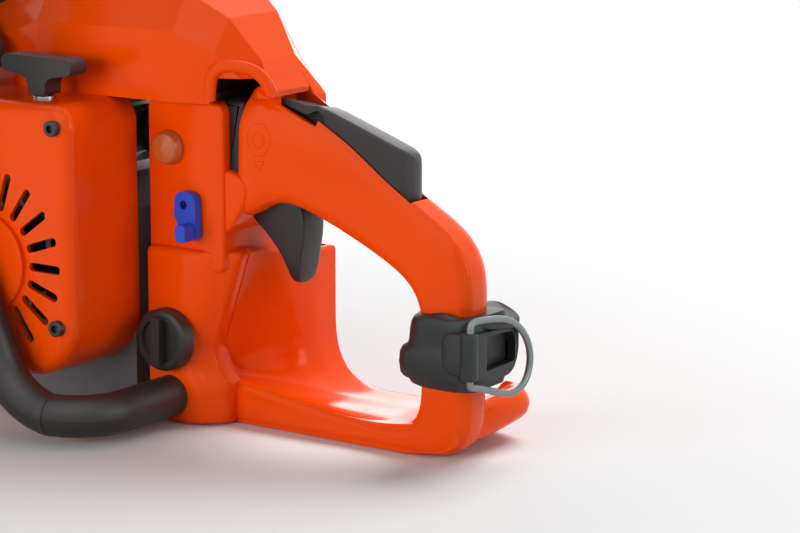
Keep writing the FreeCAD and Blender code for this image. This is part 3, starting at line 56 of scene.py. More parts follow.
AZIMUTH, ELEVATION = math.radians(35), math.radians(12)
AIM = Vector((0.219, -0.001, 0.101))
DISTANCE = 1.6
LENS, SENSOR_WIDTH = 129.6, 36
SAW_MIDDLE = (0.15, 0, 0.12)
WHITE = (1, 1, 1, 1)
FLOOR_REACH, FLOOR_DROP = 12, 0.0006
FLOOR_GREY = 0.74
FLOOR_MIDDLE, SHADOW_FROM, SHADOW_TO = (0.12, 0, 0), 0.22, 0.62


def towards_viewer():
    """Unit vector from the saw to the camera."""
    level = math.cos(ELEVATION)
    return Vector((math.sin(AZIMUTH) * level, -math.cos(AZIMUTH) * level, math.sin(ELEVATION)))


def placed(name, data):
    """An object round a mesh, curve, camera or light, put in the scene."""
    thing = bpy.data.objects.new(name, data)
    bpy.context.collection.objects.link(thing)
    return thing


def make_camera():
    data = bpy.data.cameras.new("camera")
    data.lens = LENS
    data.sensor_width = SENSOR_WIDTH
    camera = placed("camera", data)
    camera.location = AIM + towards_viewer() * DISTANCE
    camera.rotation_euler = towards_viewer().to_track_quat("Z", "Y").to_euler()
    bpy.context.scene.camera = camera


def soft_light(name, place, aim, width, height, watts, diffuse=True, glossy=True):
    """A soft panel that faces a point; it may be left out of matt light or out of reflections."""
    data = bpy.data.lights.new(name, "AREA")
    data.shape = "RECTANGLE"
    data.size, data.size_y, data.energy = width, height, watts
    lamp = placed(name, data)
    lamp.location = place
    lamp.rotation_euler = (Vector(place) - Vector(aim)).to_track_quat("Z", "Y").to_euler()
    lamp.visible_diffuse, lamp.visible_glossy = diffuse, glossy


def seen_white(tree, path):
    """1 where the background shows white: straight on, in a reflection and through glass."""
    mask = path.outputs["Is Camera Ray"]
    for kind in ("Is Glossy Ray", "Is Transmission Ray"):
        both = tree.nodes.new("ShaderNodeMath")
        both.operation = "MAXIMUM"
        tree.links.new(mask, both.inputs[0])
        tree.links.new(path.outputs[kind], both.inputs[1])
        mask = both.outputs[0]
    return mask


def make_world():
    """A white background that gives the saw only a low fill light."""
    world = bpy.data.worlds.new("studio")
    world.use_nodes = True
    tree = world.node_tree
    tree.nodes.clear()
    path = tree.nodes.new("ShaderNodeLightPath")
    fill, white = (tree.nodes.new("ShaderNodeBackground") for _ in range(2))
    fill.inputs["Strength"].default_value = 0.24
    white.inputs["Strength"].default_value = 1.0
    for node in (fill, white):
        node.inputs["Color"].default_value = WHITE
    mix = tree.nodes.new("ShaderNodeMixShader")
    out = tree.nodes.new("ShaderNodeOutputWorld")
    tree.links.new(seen_white(tree, path), mix.inputs[0])
    tree.links.new(fill.outputs[0], mix.inputs[1])
    tree.links.new(white.outputs[0], mix.inputs[2])
    tree.links.new(mix.outputs[0], out.inputs[0])
    bpy.context.scene.world = world


def make_floor():
    """A pale floor that keeps the saw's shadow and turns plain white away from it."""
    mesh = bpy.data.meshes.new("floor")
    corners = [(-1, -1), (1, -1), (1, 1), (-1, 1)]
    mesh.from_pydata([(x * FLOOR_REACH, y * FLOOR_REACH, 0) for x, y in corners], [], [(0, 1, 2, 3)])
    floor = placed("floor", mesh)
    floor.location.z = -FLOOR_DROP
    material = bpy.data.materials.new("floor")
    material.use_nodes = True
    tree = material.node_tree
    link, new = tree.links.new, tree.nodes.new
    shader = tree.nodes["Principled BSDF"]
    shader.inputs["Base Color"].default_value = (FLOOR_GREY, FLOOR_GREY, FLOOR_GREY, 1)
    shader.inputs["Roughness"].default_value = 0.9
    shader.inputs["Specular IOR Level"].default_value = 0.1
    place, away, reach, path, seen = (new("ShaderNode" + kind) for kind in
                                      ("TexCoord", "VectorMath", "MapRange", "LightPath", "Math"))
    away.operation = "DISTANCE"
    away.inputs[1].default_value = FLOOR_MIDDLE
    link(place.outputs["Object"], away.inputs[0])
    link(away.outputs["Value"], reach.inputs["Value"])
    reach.inputs["From Min"].default_value = SHADOW_FROM
    reach.inputs["From Max"].default_value = SHADOW_TO
    reach.interpolation_type = "SMOOTHSTEP"
    seen.operation = "MULTIPLY"
    link(seen_white(tree, path), seen.inputs[0])
    link(reach.outputs["Result"], seen.inputs[1])
    white, mix = new("ShaderNodeEmission"), new("ShaderNodeMixShader")
    link(seen.outputs[0], mix.inputs[0])
    link(shader.outputs[0], mix.inputs[1])
    link(white.outputs[0], mix.inputs[2])
    link(mix.outputs[0], tree.nodes["Material Output"].inputs["Surface"])
    mesh.materials.append(material)


bpy.context.scene.view_settings.view_transform = "Standard"
make_camera()
make_world()
make_floor()
soft_light("overhead", (0.35, 0.9, 1.35), (0.15, 0, 0.1), width=1.3, height=0.7, watts=26, glossy=False)
soft_light("left_card", (0.35, -1.1, 1.3), SAW_MIDDLE, width=1.5, height=1.5, watts=8, diffuse=False)
soft_light("left_fill", (-0.2, -1.6, 0.42), SAW_MIDDLE, width=1.4, height=0.5, watts=15, glossy=False)
soft_light("rear_fill", (1.75, 0.1, 0.65), SAW_MIDDLE, width=0.5, height=0.8, watts=5)
soft_light("back_panel", (-0.8, 1.45, 0.4), (0.2, 0, 0.05), width=1.1, height=0.4, watts=3.2)


# ---- materials ----

MOTTLE_SCALE, MOTTLE_DETAIL = 14, 5
GRAIN_DETAIL = 3
RELIEF_DEPTH = 0.0004
EDGE_FROM, EDGE_TO = 0.52, 0.62


def linear(*channels):
    """A colour written as on a screen, 0 to 255, in the shader's own scale."""
    shares = [channel / 255 for channel in channels]
    return tuple(share / 12.92 if share <= 0.04045 else ((share + 0.055) / 1.055) ** 2.4 for share in shares)


def worn_edges(tree, base, colour, wear):
    """The colour of a socket, turned paler by wear on the shape's sharp edges."""
    kinds = ("NewGeometry", "MapRange", "Mix")
    geometry, edge, worn = (tree.nodes.new("ShaderNode" + kind) for kind in kinds)
    edge.inputs["From Min"].default_value = EDGE_FROM
    edge.inputs["From Max"].default_value = EDGE_TO
    edge.inputs["To Max"].default_value = wear
    tree.links.new(geometry.outputs["Pointiness"], edge.inputs["Value"])
    worn.data_type = "RGBA"
    worn.inputs["B"].default_value = (*[min(1, c * 1.7 + 0.03) for c in colour], 1)
    tree.links.new(edge.outputs["Result"], worn.inputs["Factor"])
    tree.links.new(base, worn.inputs["A"])
    return worn.outputs["Result"]


def surface(name, colour, roughness, metallic=0.0, grain=0.1, grain_size=900, variation=0.06, bump=0.05,
            stretch=(1, 1, 1), wear=0.0):
    """A plastic, metal or rubber finish: mottled colour, uneven gloss, a fine relief and worn edges."""
    material = bpy.data.materials.new(name)
    material.use_nodes = True
    tree = material.node_tree
    shader = tree.nodes["Principled BSDF"]
    link, new = tree.links.new, tree.nodes.new
    place = new("ShaderNodeTexCoord")
    mapping = new("ShaderNodeMapping")
    mapping.inputs["Scale"].default_value = stretch
    link(place.outputs["Object"], mapping.inputs["Vector"])
    broad, fine = new("ShaderNodeTexNoise"), new("ShaderNodeTexNoise")
    broad.inputs["Scale"].default_value = MOTTLE_SCALE
    broad.inputs["Detail"].default_value = MOTTLE_DETAIL
    fine.inputs["Scale"].default_value = grain_size
    fine.inputs["Detail"].default_value = GRAIN_DETAIL
    link(mapping.outputs[0], broad.inputs["Vector"])
    link(mapping.outputs[0], fine.inputs["Vector"])
    tint = new("ShaderNodeValToRGB")
    first, last = tint.color_ramp.elements
    first.position, first.color = 0.3, (*[c * (1 - variation) for c in colour], 1)
    last.position, last.color = 0.7, (*[min(1, c * (1 + variation)) for c in colour], 1)
    link(broad.outputs["Fac"], tint.inputs["Fac"])
    base = worn_edges(tree, tint.outputs["Color"], colour, wear) if wear else tint.outputs["Color"]
    link(base, shader.inputs["Base Color"])
    gloss = new("ShaderNodeMapRange")
    gloss.inputs["To Min"].default_value = max(0.02, roughness * (1 - grain * 2))
    gloss.inputs["To Max"].default_value = min(1, roughness * (1 + grain * 2))
    link(fine.outputs["Fac"], gloss.inputs["Value"])
    link(gloss.outputs["Result"], shader.inputs["Roughness"])
    relief = new("ShaderNodeBump")
    relief.inputs["Strength"].default_value = bump
    relief.inputs["Distance"].default_value = RELIEF_DEPTH
    link(fine.outputs["Fac"], relief.inputs["Height"])
    link(relief.outputs["Normal"], shader.inputs["Normal"])
    shader.inputs["Metallic"].default_value = metallic
    return material


ORANGE = surface("orange_gloss", linear(238, 74, 2), 0.16, grain=0.2, grain_size=60,
                 variation=0.03, bump=0.02)
gloss_shader = ORANGE.node_tree.nodes["Principled BSDF"]
gloss_shader.inputs["Specular IOR Level"].default_value = 0.22
gloss_shader.inputs["Specular Tint"].default_value = (1, 0.74, 0.55, 1)
DARK = surface("dark_grey_plastic", linear(36, 33, 32), 0.42, grain=0.15, grain_size=1500,
               bump=0.22, wear=0.25)
CLAMP = surface("clamp_plastic", linear(24, 29, 29), 0.45, grain=0.15, grain_size=1400, bump=0.2, wear=0.25)
BLACK = surface("black_plastic", linear(28, 28, 29), 0.5, grain_size=1300, bump=0.2)
RUBBER = surface("rubber", linear(34, 34, 34), 0.7, grain_size=1800, bump=0.35)
MAGNESIUM = surface("cast_magnesium", linear(120, 122, 124), 0.55, metallic=0.75, grain_size=1100,
                    bump=0.5, variation=0.08)
ALUMINIUM = surface("cast_aluminium", linear(176, 178, 180), 0.45, metallic=0.9, grain_size=1000,
                    bump=0.4, variation=0.08)
STEEL = surface("ground_steel", linear(150, 152, 154), 0.3, metallic=1.0, grain_size=500,
                stretch=(1, 1, 40), bump=0.12)
BRIGHT = surface("bright_steel", linear(182, 184, 187), 0.28, metallic=1.0, grain_size=700, bump=0.05)
BLACKENED = surface("blackened_steel", linear(72, 72, 74), 0.4, metallic=0.9, grain_size=900,
                    bump=0.2, wear=0.4)
RING = surface("ring_steel", linear(128, 136, 137), 0.38, metallic=0.6, grain_size=900,
               bump=0.1, variation=0.1)
BLUE = surface("blue_plastic", linear(20, 70, 190), 0.3, grain_size=900, bump=0.1)
AMBER = surface("amber_rubber", linear(190, 92, 40), 0.25, grain_size=500, bump=0.05)
ROPE = surface("rope_fibre", linear(225, 225, 222), 0.8, grain_size=900, bump=0.8, stretch=(1, 1, 0.3))
CERAMIC = surface("plug_ceramic", linear(232, 230, 222), 0.15, bump=0.02)


def filter_finish():
    """The air filter's black holder below its felt panel, told apart by height."""
    holder, blend = 0.012, 0.001
    material = BLACK.copy()
    material.name = "filter_holder_and_felt"
    tree = material.node_tree
    link, new = tree.links.new, tree.nodes.new
    shader = tree.nodes["Principled BSDF"]
    split, place, mix = new("ShaderNodeSeparateXYZ"), new("ShaderNodeTexCoord"), new("ShaderNodeMix")
    level = new("ShaderNodeMapRange")
    level.inputs["From Min"].default_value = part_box("air_filter")[0][2] + holder
    level.inputs["From Max"].default_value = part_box("air_filter")[0][2] + holder + blend
    link(place.outputs["Object"], split.inputs[0])
    link(split.outputs["Z"], level.inputs["Value"])
    mix.data_type = "RGBA"
    mix.inputs["B"].default_value = (*linear(214, 208, 192), 1)
    link(level.outputs["Result"], mix.inputs["Factor"])
    link(shader.inputs["Base Color"].links[0].from_socket, mix.inputs["A"])
    link(mix.outputs["Result"], shader.inputs["Base Color"])
    return material


FINISH = {
    "orange_shell": ORANGE, "dark_grey_plastic": DARK, "black_plastic": BLACK, "cast_magnesium": MAGNESIUM,
    "machined_steel": STEEL, "bright_steel": BRIGHT, "dark_steel": BLACKENED, "ring_steel": RING,
    "cast_aluminium": ALUMINIUM, "rubber": RUBBER, "blue_plastic": BLUE, "clear_rubber": AMBER,
    "filter_felt": filter_finish(), "rope_fibre": ROPE, "ceramic": CERAMIC,
}
SLOT_OF = {part["node"]: part["material_slot"] for part in frame["record"]["subparts"]}


def dress_node(name, material, soften, angle=30):
    """Give a CAD node its finish, smooth shading and a small bevel on its sharp edges."""
    thing = nodes[name]
    for slot in thing.material_slots:
        slot.material = material
    for face in thing.data.polygons:
        face.use_smooth = True
    if soften:
        bevel = thing.modifiers.new("soft_edges", "BEVEL")
        bevel.width = soften
        bevel.segments = 2
        bevel.limit_method = "ANGLE"
        bevel.angle_limit = math.radians(angle)
        bevel.harden_normals = True
    else:
        sharp = thing.modifiers.new("edges", "EDGE_SPLIT")
        sharp.split_angle = math.radians(angle)


# The chain's many small pieces keep hard edges.
HARD_EDGED = {"chain_drive_links", "chain_tie_straps", "chain_cutters"}
for name in nodes:
    dress_node(name, FINISH[SLOT_OF[name]], soften=0.0 if name in HARD_EDGED else SOFT_EDGE)


# ---- mesh helpers, in millimetres ----

def piece(name, verts, faces, material, body="saw", slot=None, sharp=38):
    """A mesh object from points in millimetres, smooth but for its sharp edges, riding on a body."""
    mesh = bpy.data.meshes.new(name)
    mesh.from_pydata([(x * MM, y * MM, z * MM) for x, y, z in verts], [], faces)
    thing = placed(name, mesh)
    mesh.materials.append(material)
    finish_mesh(thing, sharp)
    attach(thing, body)
    return thing


def finish_mesh(thing, sharp=38):
    """Consistent outward normals and smooth shading between edges below an angle."""
    work = bmesh.new()
    work.from_mesh(thing.data)
    bmesh.ops.remove_doubles(work, verts=work.verts, dist=0.00001)
    bmesh.ops.recalc_face_normals(work, faces=work.faces)
    work.to_mesh(thing.data)
    work.free()
    thing.data.polygons.foreach_set("use_smooth", [True] * len(thing.data.polygons))
    thing.data.set_sharp_from_angle(angle=math.radians(sharp))


def skin(rings):
    """Points and faces through rings of equally many points, capped at both ends."""
    count, total = len(rings[0]), len(rings)
    verts = [point for ring in rings for point in ring]
    faces = []
    for i in range(total - 1):
        here, above = i * count, (i + 1) * count
        faces += [(here + j, here + (j + 1) % count, above + (j + 1) % count, above + j) for j in range(count)]
    faces += [tuple(reversed(range(count))), tuple((total - 1) * count + j for j in range(count))]
    return verts, faces


def soft_corners(corners, trims, steps=6):
    """A closed outline with each corner replaced by a smooth curve of steps + 1 points.

    A trim is the length taken off both sides of a corner, at most nearly half of each side.
    """
    points, count, longest = [], len(corners), 0.48
    for i, corner in enumerate(corners):
        here = Vector(corner)
        before, after = Vector(corners[i - 1]) - here, Vector(corners[(i + 1) % count]) - here
        near = here + before.normalized() * min(trims[i], before.length * longest)
        far = here + after.normalized() * min(trims[i], after.length * longest)
        for k in range(steps + 1):
            t = k / steps
            points.append(near * (1 - t) ** 2 + here * 2 * t * (1 - t) + far * t ** 2)
    return points


def smooth_rows(rows, per_span=8):
    """A uniform cubic B-spline through rows of numbers, from the first row to the last."""
    table = np.array([rows[0], rows[0]] + list(rows) + [rows[-1], rows[-1]], dtype=float)
    result = []
    for i in range(len(table) - 3):
        for k in range(per_span):
            t = k / per_span
            weights = np.array([(1 - t) ** 3, 3 * t ** 3 - 6 * t ** 2 + 4,
                                -3 * t ** 3 + 3 * t ** 2 + 3 * t + 1, t ** 3]) / 6
            result.append(weights @ table[i:i + 4])
    result.append(table[-1])
    return result


def carve(thing, *cutters):
    """Cut other closed pieces out of a piece, and delete them."""
    for cutter in cutters:
        boolean = thing.modifiers.new("carve", "BOOLEAN")
        boolean.operation = "DIFFERENCE"
        boolean.solver = "EXACT"
        boolean.object = cutter
    bpy.context.view_layer.update()
    made = bpy.data.meshes.new_from_object(thing.evaluated_get(bpy.context.evaluated_depsgraph_get()))
    thing.modifiers.clear()
    thing.data = made
    for cutter in cutters:
        bpy.data.objects.remove(cutter)


def prism(corners, low, high, axis="y", name="cutter"):
    """A closed plate with an (x, z) outline between two y stations, or a (y, z) outline along x."""
    rings = []
    for station in (low, high):
        rings.append([(across, station, z) if axis == "y" else (station, across, z) for across, z in corners])
    verts, faces = skin(rings)
    mesh = bpy.data.meshes.new(name)
    mesh.from_pydata([(x * MM, y * MM, z * MM) for x, y, z in verts], [], faces)
    work = bmesh.new()
    work.from_mesh(mesh)
    bmesh.ops.recalc_face_normals(work, faces=work.faces)
    work.to_mesh(mesh)
    work.free()
    return placed(name, mesh)


# ---- rear handle moulding ----

# The grip's own middle across the saw, and half the widths of the levers in it and of their slots.
MIDDLE = -4
LOCKOUT_HALF, LOCKOUT_SLOT_HALF = 11.5, 12.3
TRIGGER_HALF, TRIGGER_SLOT_HALF = 11, 12

# Each row is one section of the loop, from its rounded front end round to the rim under the tank: the inner
# point (x, z), the outer point (x, z), the left and right sides, the upper left slope's width and depth, and
# the height of the bevel at its top.
LOOP = [
    (126.5, 126, 127, 187, -26, 20, 12, 15, 8),
    (127.5, 122, 129, 196, -31, 25, 14, 18, 9),
    (136, 125, 140, 199, -31, 23, 14, 20, 10),
    (149, 134, 157, 189.5, -26.5, 18, 10, 23, 9),
    (166, 129, 178, 179.5, -22.5, 14, 6.2, 24, 7.5),
    (186, 120.5, 200, 167, -20.5, 12.5, 4.3, 23, 6.5),
    (206, 111.5, 219.5, 152, -20, 12, 3.9, 20, 6),
    (224, 102.5, 241.5, 139, -20, 12, 4, 16, 6),
    (237, 93, 262, 127, -20, 12, 5, 11, 5),
    (242.5, 80, 274, 110, -20, 12, 7, 8, 3.5),
    (243, 67, 275, 88, -20, 12, 8, 8, 3.5),
    (242, 53, 274, 60, -20, 12, 8, 8, 3.5),
    (242, 40, 274, 37, -20, 12, 8, 8, 3.5),
    (241.5, 27, 274.5, 13, -20, 12, 8, 8, 3.5),
    (236, 16, 264, 0.3, -20, 12, 8, 8, 3.5),
    (223, 14.2, 242, 0, -20, 9, 7, 7, 3),
    (206, 15.5, 212, 0, -20, 2, 5, 6, 2.5),
    (184, 17.6, 186, 0, -20, -6, 4, 5, 2),
    (156, 20.4, 156, 0, -20, -10, 3, 5, 2),
    (130, 23, 130, 0, -20, -11, 3, 5, 2),
    (104, 26, 104, 0, -20, -11, 3, 5, 2),
]


def loop_ring(row):
    """One rounded section of the loop, with a leaning upper left side and a bevel above it."""
    full_width, bevel_start = 30, 0.32
    inner, outer = Vector((row[0], row[1])), Vector((row[2], row[3]))
    left, right, slope, drop, bevel = row[4:9]
    height = (outer - inner).length
    along = (outer - inner) / height
    soft = min(1.0, (right - left) / full_width)
    side, under = 8 * soft, min(9, height * 0.3)
    corners = [(left + slope, height), (right - side, height), (right, height - under), (right, under),
               (right - side, 0), (left + 6 * soft, 0), (left, min(6, height * 0.25)), (left, height - drop),
               (left + slope * bevel_start, height - bevel)]
    outline = soft_corners(corners, [1.2, 9, 9, 9, 9, 5, 5, 7, 2.5])
    return [(inner.x + along.x * v, y, inner.y + along.y * v) for y, v in outline]


def slot_cutter(corners, half):
    """A cutter on the grip's middle, by half its width."""
    return prism(corners, MIDDLE - half, MIDDLE + half)


def handle_loop():
    """The grip, the rear post and the near rim in one smooth sweep, with slots for trigger and lockout."""
    verts, faces = skin([loop_ring(row) for row in smooth_rows(LOOP)])
    loop = piece("handle_loop", verts, faces, ORANGE, slot="orange_shell")
    lockout_slot = slot_cutter([(141, 215), (141, 172), (160, 165), (226, 120), (232, 126), (238, 143),
                                (238, 215)], LOCKOUT_SLOT_HALF)
    notch = prism([(148, 215), (149, 187.5), (174, 177.5), (177, 215)], -34, MIDDLE)
    trigger_slot = slot_cutter([(112, 106), (112, 158), (176, 158), (196, 104)], TRIGGER_SLOT_HALF)
    carve(loop, lockout_slot, trigger_slot, notch)
    finish_mesh(loop, 32)
    return loop


def plan_ring(x, low, high, left, right, corner, lean=0.0):
    """A rounded (y, z) section at a station x; lean sinks the right upper corner."""
    outline = soft_corners([(left, low), (left, high), (right, high - lean), (right, low)],
                           [min(1, corner), corner, corner * 2.4, min(1, corner)], 5)
    return [(x, y, z) for y, z in outline]


def lockout():
    """Throttle lockout: a long body with a rounded heel, a thin front flange and a groove under it, whose
    floor is a black plate of painted shade.
    """
    left, right = MIDDLE - LOCKOUT_HALF, MIDDLE + LOCKOUT_HALF
    edge, lean = 1.8, 4.5
    # Each row: x, underside, crown, left inset, right inset.
    rows = [(141.5, 184, 187.5, 5, 5), (142, 183.5, 188.8, 3, 3), (145, 182.5, 190.6, 1, 1.5),
            (150, 181.5, 191.2, 0, 1), (158, 180, 190.6, 0, 1), (164, 178.5, 188.8, 0, 1),
            (168, 176.5, 188.8, 0, 1), (173, 174, 189.3, 0, 0.5), (180, 170, 187.2, 0, 0),
            (205, 155.5, 178.6, 0, 0), (224, 143, 171.8, 0, 0), (227, 141.4, 170.5, 0.6, 0.8),
            (229.5, 140.4, 169.3, 2, 2.6), (231.5, 140, 167.6, 4.4, 5.2), (232.8, 140, 165, 8, 9),
            (233, 140.5, 162, 10, 10.5)]
    verts, faces = skin([plan_ring(x, low, high, left + inset_left, right - inset_right, edge, lean)
                         for x, low, high, inset_left, inset_right in rows])
    body = piece("lockout_lever", verts, faces, DARK, body="lockout", slot="dark_grey_plastic")
    groove = prism([(138, 176), (138, 185.5), (151, 187.6), (163, 184), (166, 183.4), (173, 186.2),
                    (178, 184), (178, 160)], left - 3, left + 5)
    carve(body, groove)
    finish_mesh(body, 40)
    # A black plate inside the groove: painted shade, darker than the groove's own shading.
    side_shell("lockout_groove_painted_shade", [(143, 176), (144, 184.5), (164, 182), (176, 182), (176, 168)],
               [1] * 5, left + 4.6, left + 5.6, 0.3, BLACK, body="lockout", slot="black_plastic")
    return body


def trigger():
    """Throttle trigger: a deep blade with a hollow front and a crease."""
    left, right = MIDDLE - TRIGGER_HALF, MIDDLE + TRIGGER_HALF
    crease, roundest = 0.6, 5
    # Each row: height, front x, rear x, inset of the sides.
    rows = [(150, 121, 148, 2), (148, 119.5, 151, 0.3), (138, 118.5, 158, 0), (126, 120, 162, 0),
            (119, 127.5, 162.6, 0), (111, 137.5, 162, 0), (101, 146, 160, 0), (93, 150.3, 158.4, 0.6),
            (88.5, 151.4, 157.4, 2.2), (86, 152.4, 156.4, 4.5), (85, 153.4, 155.6, 7.5)]
    rings = []
    for z, front, rear, inset in rows:
        soft = min(roundest, (rear - front) * 0.4)
        corners = [(front, left + inset), (front, right - inset), (rear, right - inset),
                   (rear + crease, MIDDLE), (rear, left + inset)]
        outline = soft_corners(corners, [soft * 0.6, soft * 0.6, soft, 3, soft * 0.35], 5)
        rings.append([(x, y, z) for x, y in outline])
    smoothed = smooth_rows([np.array(ring).flatten() for ring in rings], 4)
    verts, faces = skin([[tuple(point) for point in row.reshape(-1, 3)] for row in smoothed])
    blade = piece("trigger_blade", verts, faces, DARK, body="trigger", slot="dark_grey_plastic")
    finish_mesh(blade, 40)
    return blade


def foot_profile(y):
    """The (x, z) section of tank, scoop and guard floor at a station y."""
    near_side, width, scoop_front, depth, fillet = -20, 60, 70, 270, 14
    across = min(1, max(0, (y - near_side) / width))
    ease = across * across * (3 - 2 * across)
    near = np.array([(102, 25.2), (128, 102.5)])
    far = np.array([(132.6, 11.2), (132.8, 94)])
    (heel_x, heel_z), (top_x, top_z) = near * (1 - ease) + far * ease
    radius = 18 + 25 * ease
    flat = 13.6 - 2.4 * ease
    corner = max(0, y - 42)
    recede = fillet - math.sqrt(max(0, fillet ** 2 - corner ** 2)) - 6 * ease
    lift = 9 * min(1, max(0, (y - 12) / 44)) ** 1.3
    end = depth - recede
    corners = [(scoop_front, top_z), (top_x, top_z), (heel_x, heel_z), (205, flat), (240, flat + 3.5 + ease),
               (end - 8, 24.5 + 6.5 * ease), (end, 18 + 5 * ease), (end - 2, 6 + lift * 0.6 + 3 * ease),
               (238, lift * 0.3), (scoop_front, 0)]
    trims = [4, 3, radius, 30, 12, 5, 7, 9, 14, 4]
    return soft_corners(corners, trims, 10)


def foot_moulding():
    """Fuel tank, scooped guard floor and its rounded heel, as sections across the saw."""
    stations = [-18.5, -18, -14, -10, -5, 0, 5, 10, 15, 20, 25, 30, 34, 38, 42, 46, 50, 53, 55, 56]
    rounding_from, middle, heel_from = 53, 8, 200
    rings = []
    for y in stations:
        shrink = max(0, y - rounding_from) * 0.35
        ring = []
        for x, z in foot_profile(y):
            rise = shrink if z < middle else -shrink
            ring.append((x - (shrink * 0.4 if x > heel_from else 0), y, z + rise * 0.5))
        rings.append(ring)
    verts, faces = skin(rings)
    piece("tank_and_guard_floor", verts, faces, ORANGE, slot="orange_shell")


def layered(levels, outline):
    """Rings of plan outlines at rising heights; outline(z, inset) gives the (x, y) points."""
    return [[(x, y, z) for x, y in outline(z, inset)] for z, inset in levels]


def left_wall(z):
    """How far back the tank's left bulge reaches: leaning above, then hollowed, and upright below."""
    if z > 45:
        return 102 + (z - 25) * 0.335
    if z > 25:
        return 108.7 + 9.3 * ((45 - z) / 20) ** 2
    return 118


def tank_left():
    """The tank's bulge on the left, cut back over the scoop."""
    front, side, inner = 68, -41, -15

    def outline(z, inset):
        wall = left_wall(z) - inset
        corners = [(front + inset, side + inset), (min(106, wall - 14), side + inset), (wall, -27 + inset),
                   (wall - 1, inner), (front + inset, inner)]
        return soft_corners(corners, [5, 10, 5, 1, 1])

    levels = [(0, 3), (1, 1), (3, 0)] + [(z, 0) for z in range(6, 100, 3)]
    levels += [(100.5, 0.4), (102, 1.6), (102.7, 3.4)]
    verts, faces = skin(layered(levels, outline))
    piece("tank_left", verts, faces, ORANGE, slot="orange_shell")


def tank_right():
    """The tank's right wall."""
    front, rear, inner, side = 68, 131.8, 40, 59

    def outline(z, inset):
        corners = [(front + inset, inner), (front + inset, side - inset), (rear - inset, side - inset),
                   (rear - inset, inner)]
        return soft_corners(corners, [1, 5, 5, 1])

    verts, faces = skin(layered([(0, 3), (1, 1), (3, 0), (92, 0.3), (93.4, 1.2), (94, 2.6)], outline))
    piece("tank_right", verts, faces, ORANGE, slot="orange_shell")


def side_shell(name, corners, trims, low, high, roll, material, steps=5, **options):
    """A plate with an (x, z) outline and rolled side edges between two y stations."""
    outline = soft_corners(corners, trims, steps)
    turns = [math.pi / 2 * k / 4 for k in range(5)]
    edge = [(roll * (1 - math.sin(turn)), roll * (1 - math.cos(turn))) for turn in turns]
    rows = [(inset, low + depth) for inset, depth in edge]
    rows += [(inset, high - depth) for inset, depth in reversed(edge[:-1])]
    rings = [[(p.x - inset * n.x, depth, p.y - inset * n.y) for p, n in zip(outline, outward(outline))]
             for inset, depth in rows]
    verts, faces = skin(rings)
    return piece(name, verts, faces, material, **options)


def outward(outline):
    """Unit normals of a closed outline, pointing out of it."""
    count = len(outline)
    area = sum(outline[i - 1].x * outline[i].y - outline[i].x * outline[i - 1].y for i in range(count))
    side = 1 if area > 0 else -1
    normals = []
    for i in range(count):
        along = outline[(i + 1) % count] - outline[i - 1]
        along = along.normalized() if along.length else Vector((1, 0))
        normals.append(Vector((along.y, -along.x)) * side)
    return normals


def carburettor_box():
    """The housing between tank and top cover, with a black filler in the gap in front of the grip as painted
    shade.
    """
    side_shell("carburettor_box", [(67, 90), (67, 188), (121, 188), (121, 90)], [7] * 4,
               low=-35.5, high=33.5, roll=2.5, material=ORANGE, slot="orange_shell")
    side_shell("grip_root", [(106, 108), (106, 150), (126, 150), (137, 141), (131, 126), (120, 111)], [9] * 6,
               low=-32.8, high=27, roll=3, material=ORANGE, slot="orange_shell")
    # A black filler set in the gap between box and grip: painted shade of that deep gap.
    side_shell("gap_painted_shade", [(116, 140), (116, 189), (130, 189), (130, 140)], [2] * 4,
               low=-28, high=22, roll=3, material=BLACK, slot="black_plastic")


def tube(name, points, radius, material, body, steps=12, resolution=5):
    """A smooth round bar along points in millimetres, made into a mesh."""
    curve = bpy.data.curves.new(name, "CURVE")
    curve.dimensions = "3D"
    curve.bevel_depth = radius * MM
    curve.bevel_resolution = resolution
    curve.use_fill_caps = True
    curve.resolution_u = steps
    spline = curve.splines.new("NURBS")
    spline.points.add(len(points) - 1)
    for point, (x, y, z) in zip(spline.points, points):
        point.co = (x * MM, y * MM, z * MM, 1)
    spline.order_u = 4
    spline.use_endpoint_u = True
    holder = placed("path", curve)
    bpy.context.view_layer.update()
    mesh = bpy.data.meshes.new_from_object(holder.evaluated_get(bpy.context.evaluated_depsgraph_get()))
    bpy.data.objects.remove(holder)
    thing = placed(name, mesh)
    mesh.materials.clear()
    mesh.materials.append(material)
    finish_mesh(thing, 50)
    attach(thing, body)
    return thing


def hood_lip():
    """Rolled lip round the arch that the top cover leaves over the front of the grip."""
    path = [(117, -40.5, 190), (117, -40.5, 199), (119, -40.5, 207), (126, -38.5, 210.5), (134, -36.5, 210.5),
            (142, -33, 209), (149, -29.5, 203), (151, -28, 195)]
    tube("hood_arch_lip", path, 3.6, ORANGE, "saw")


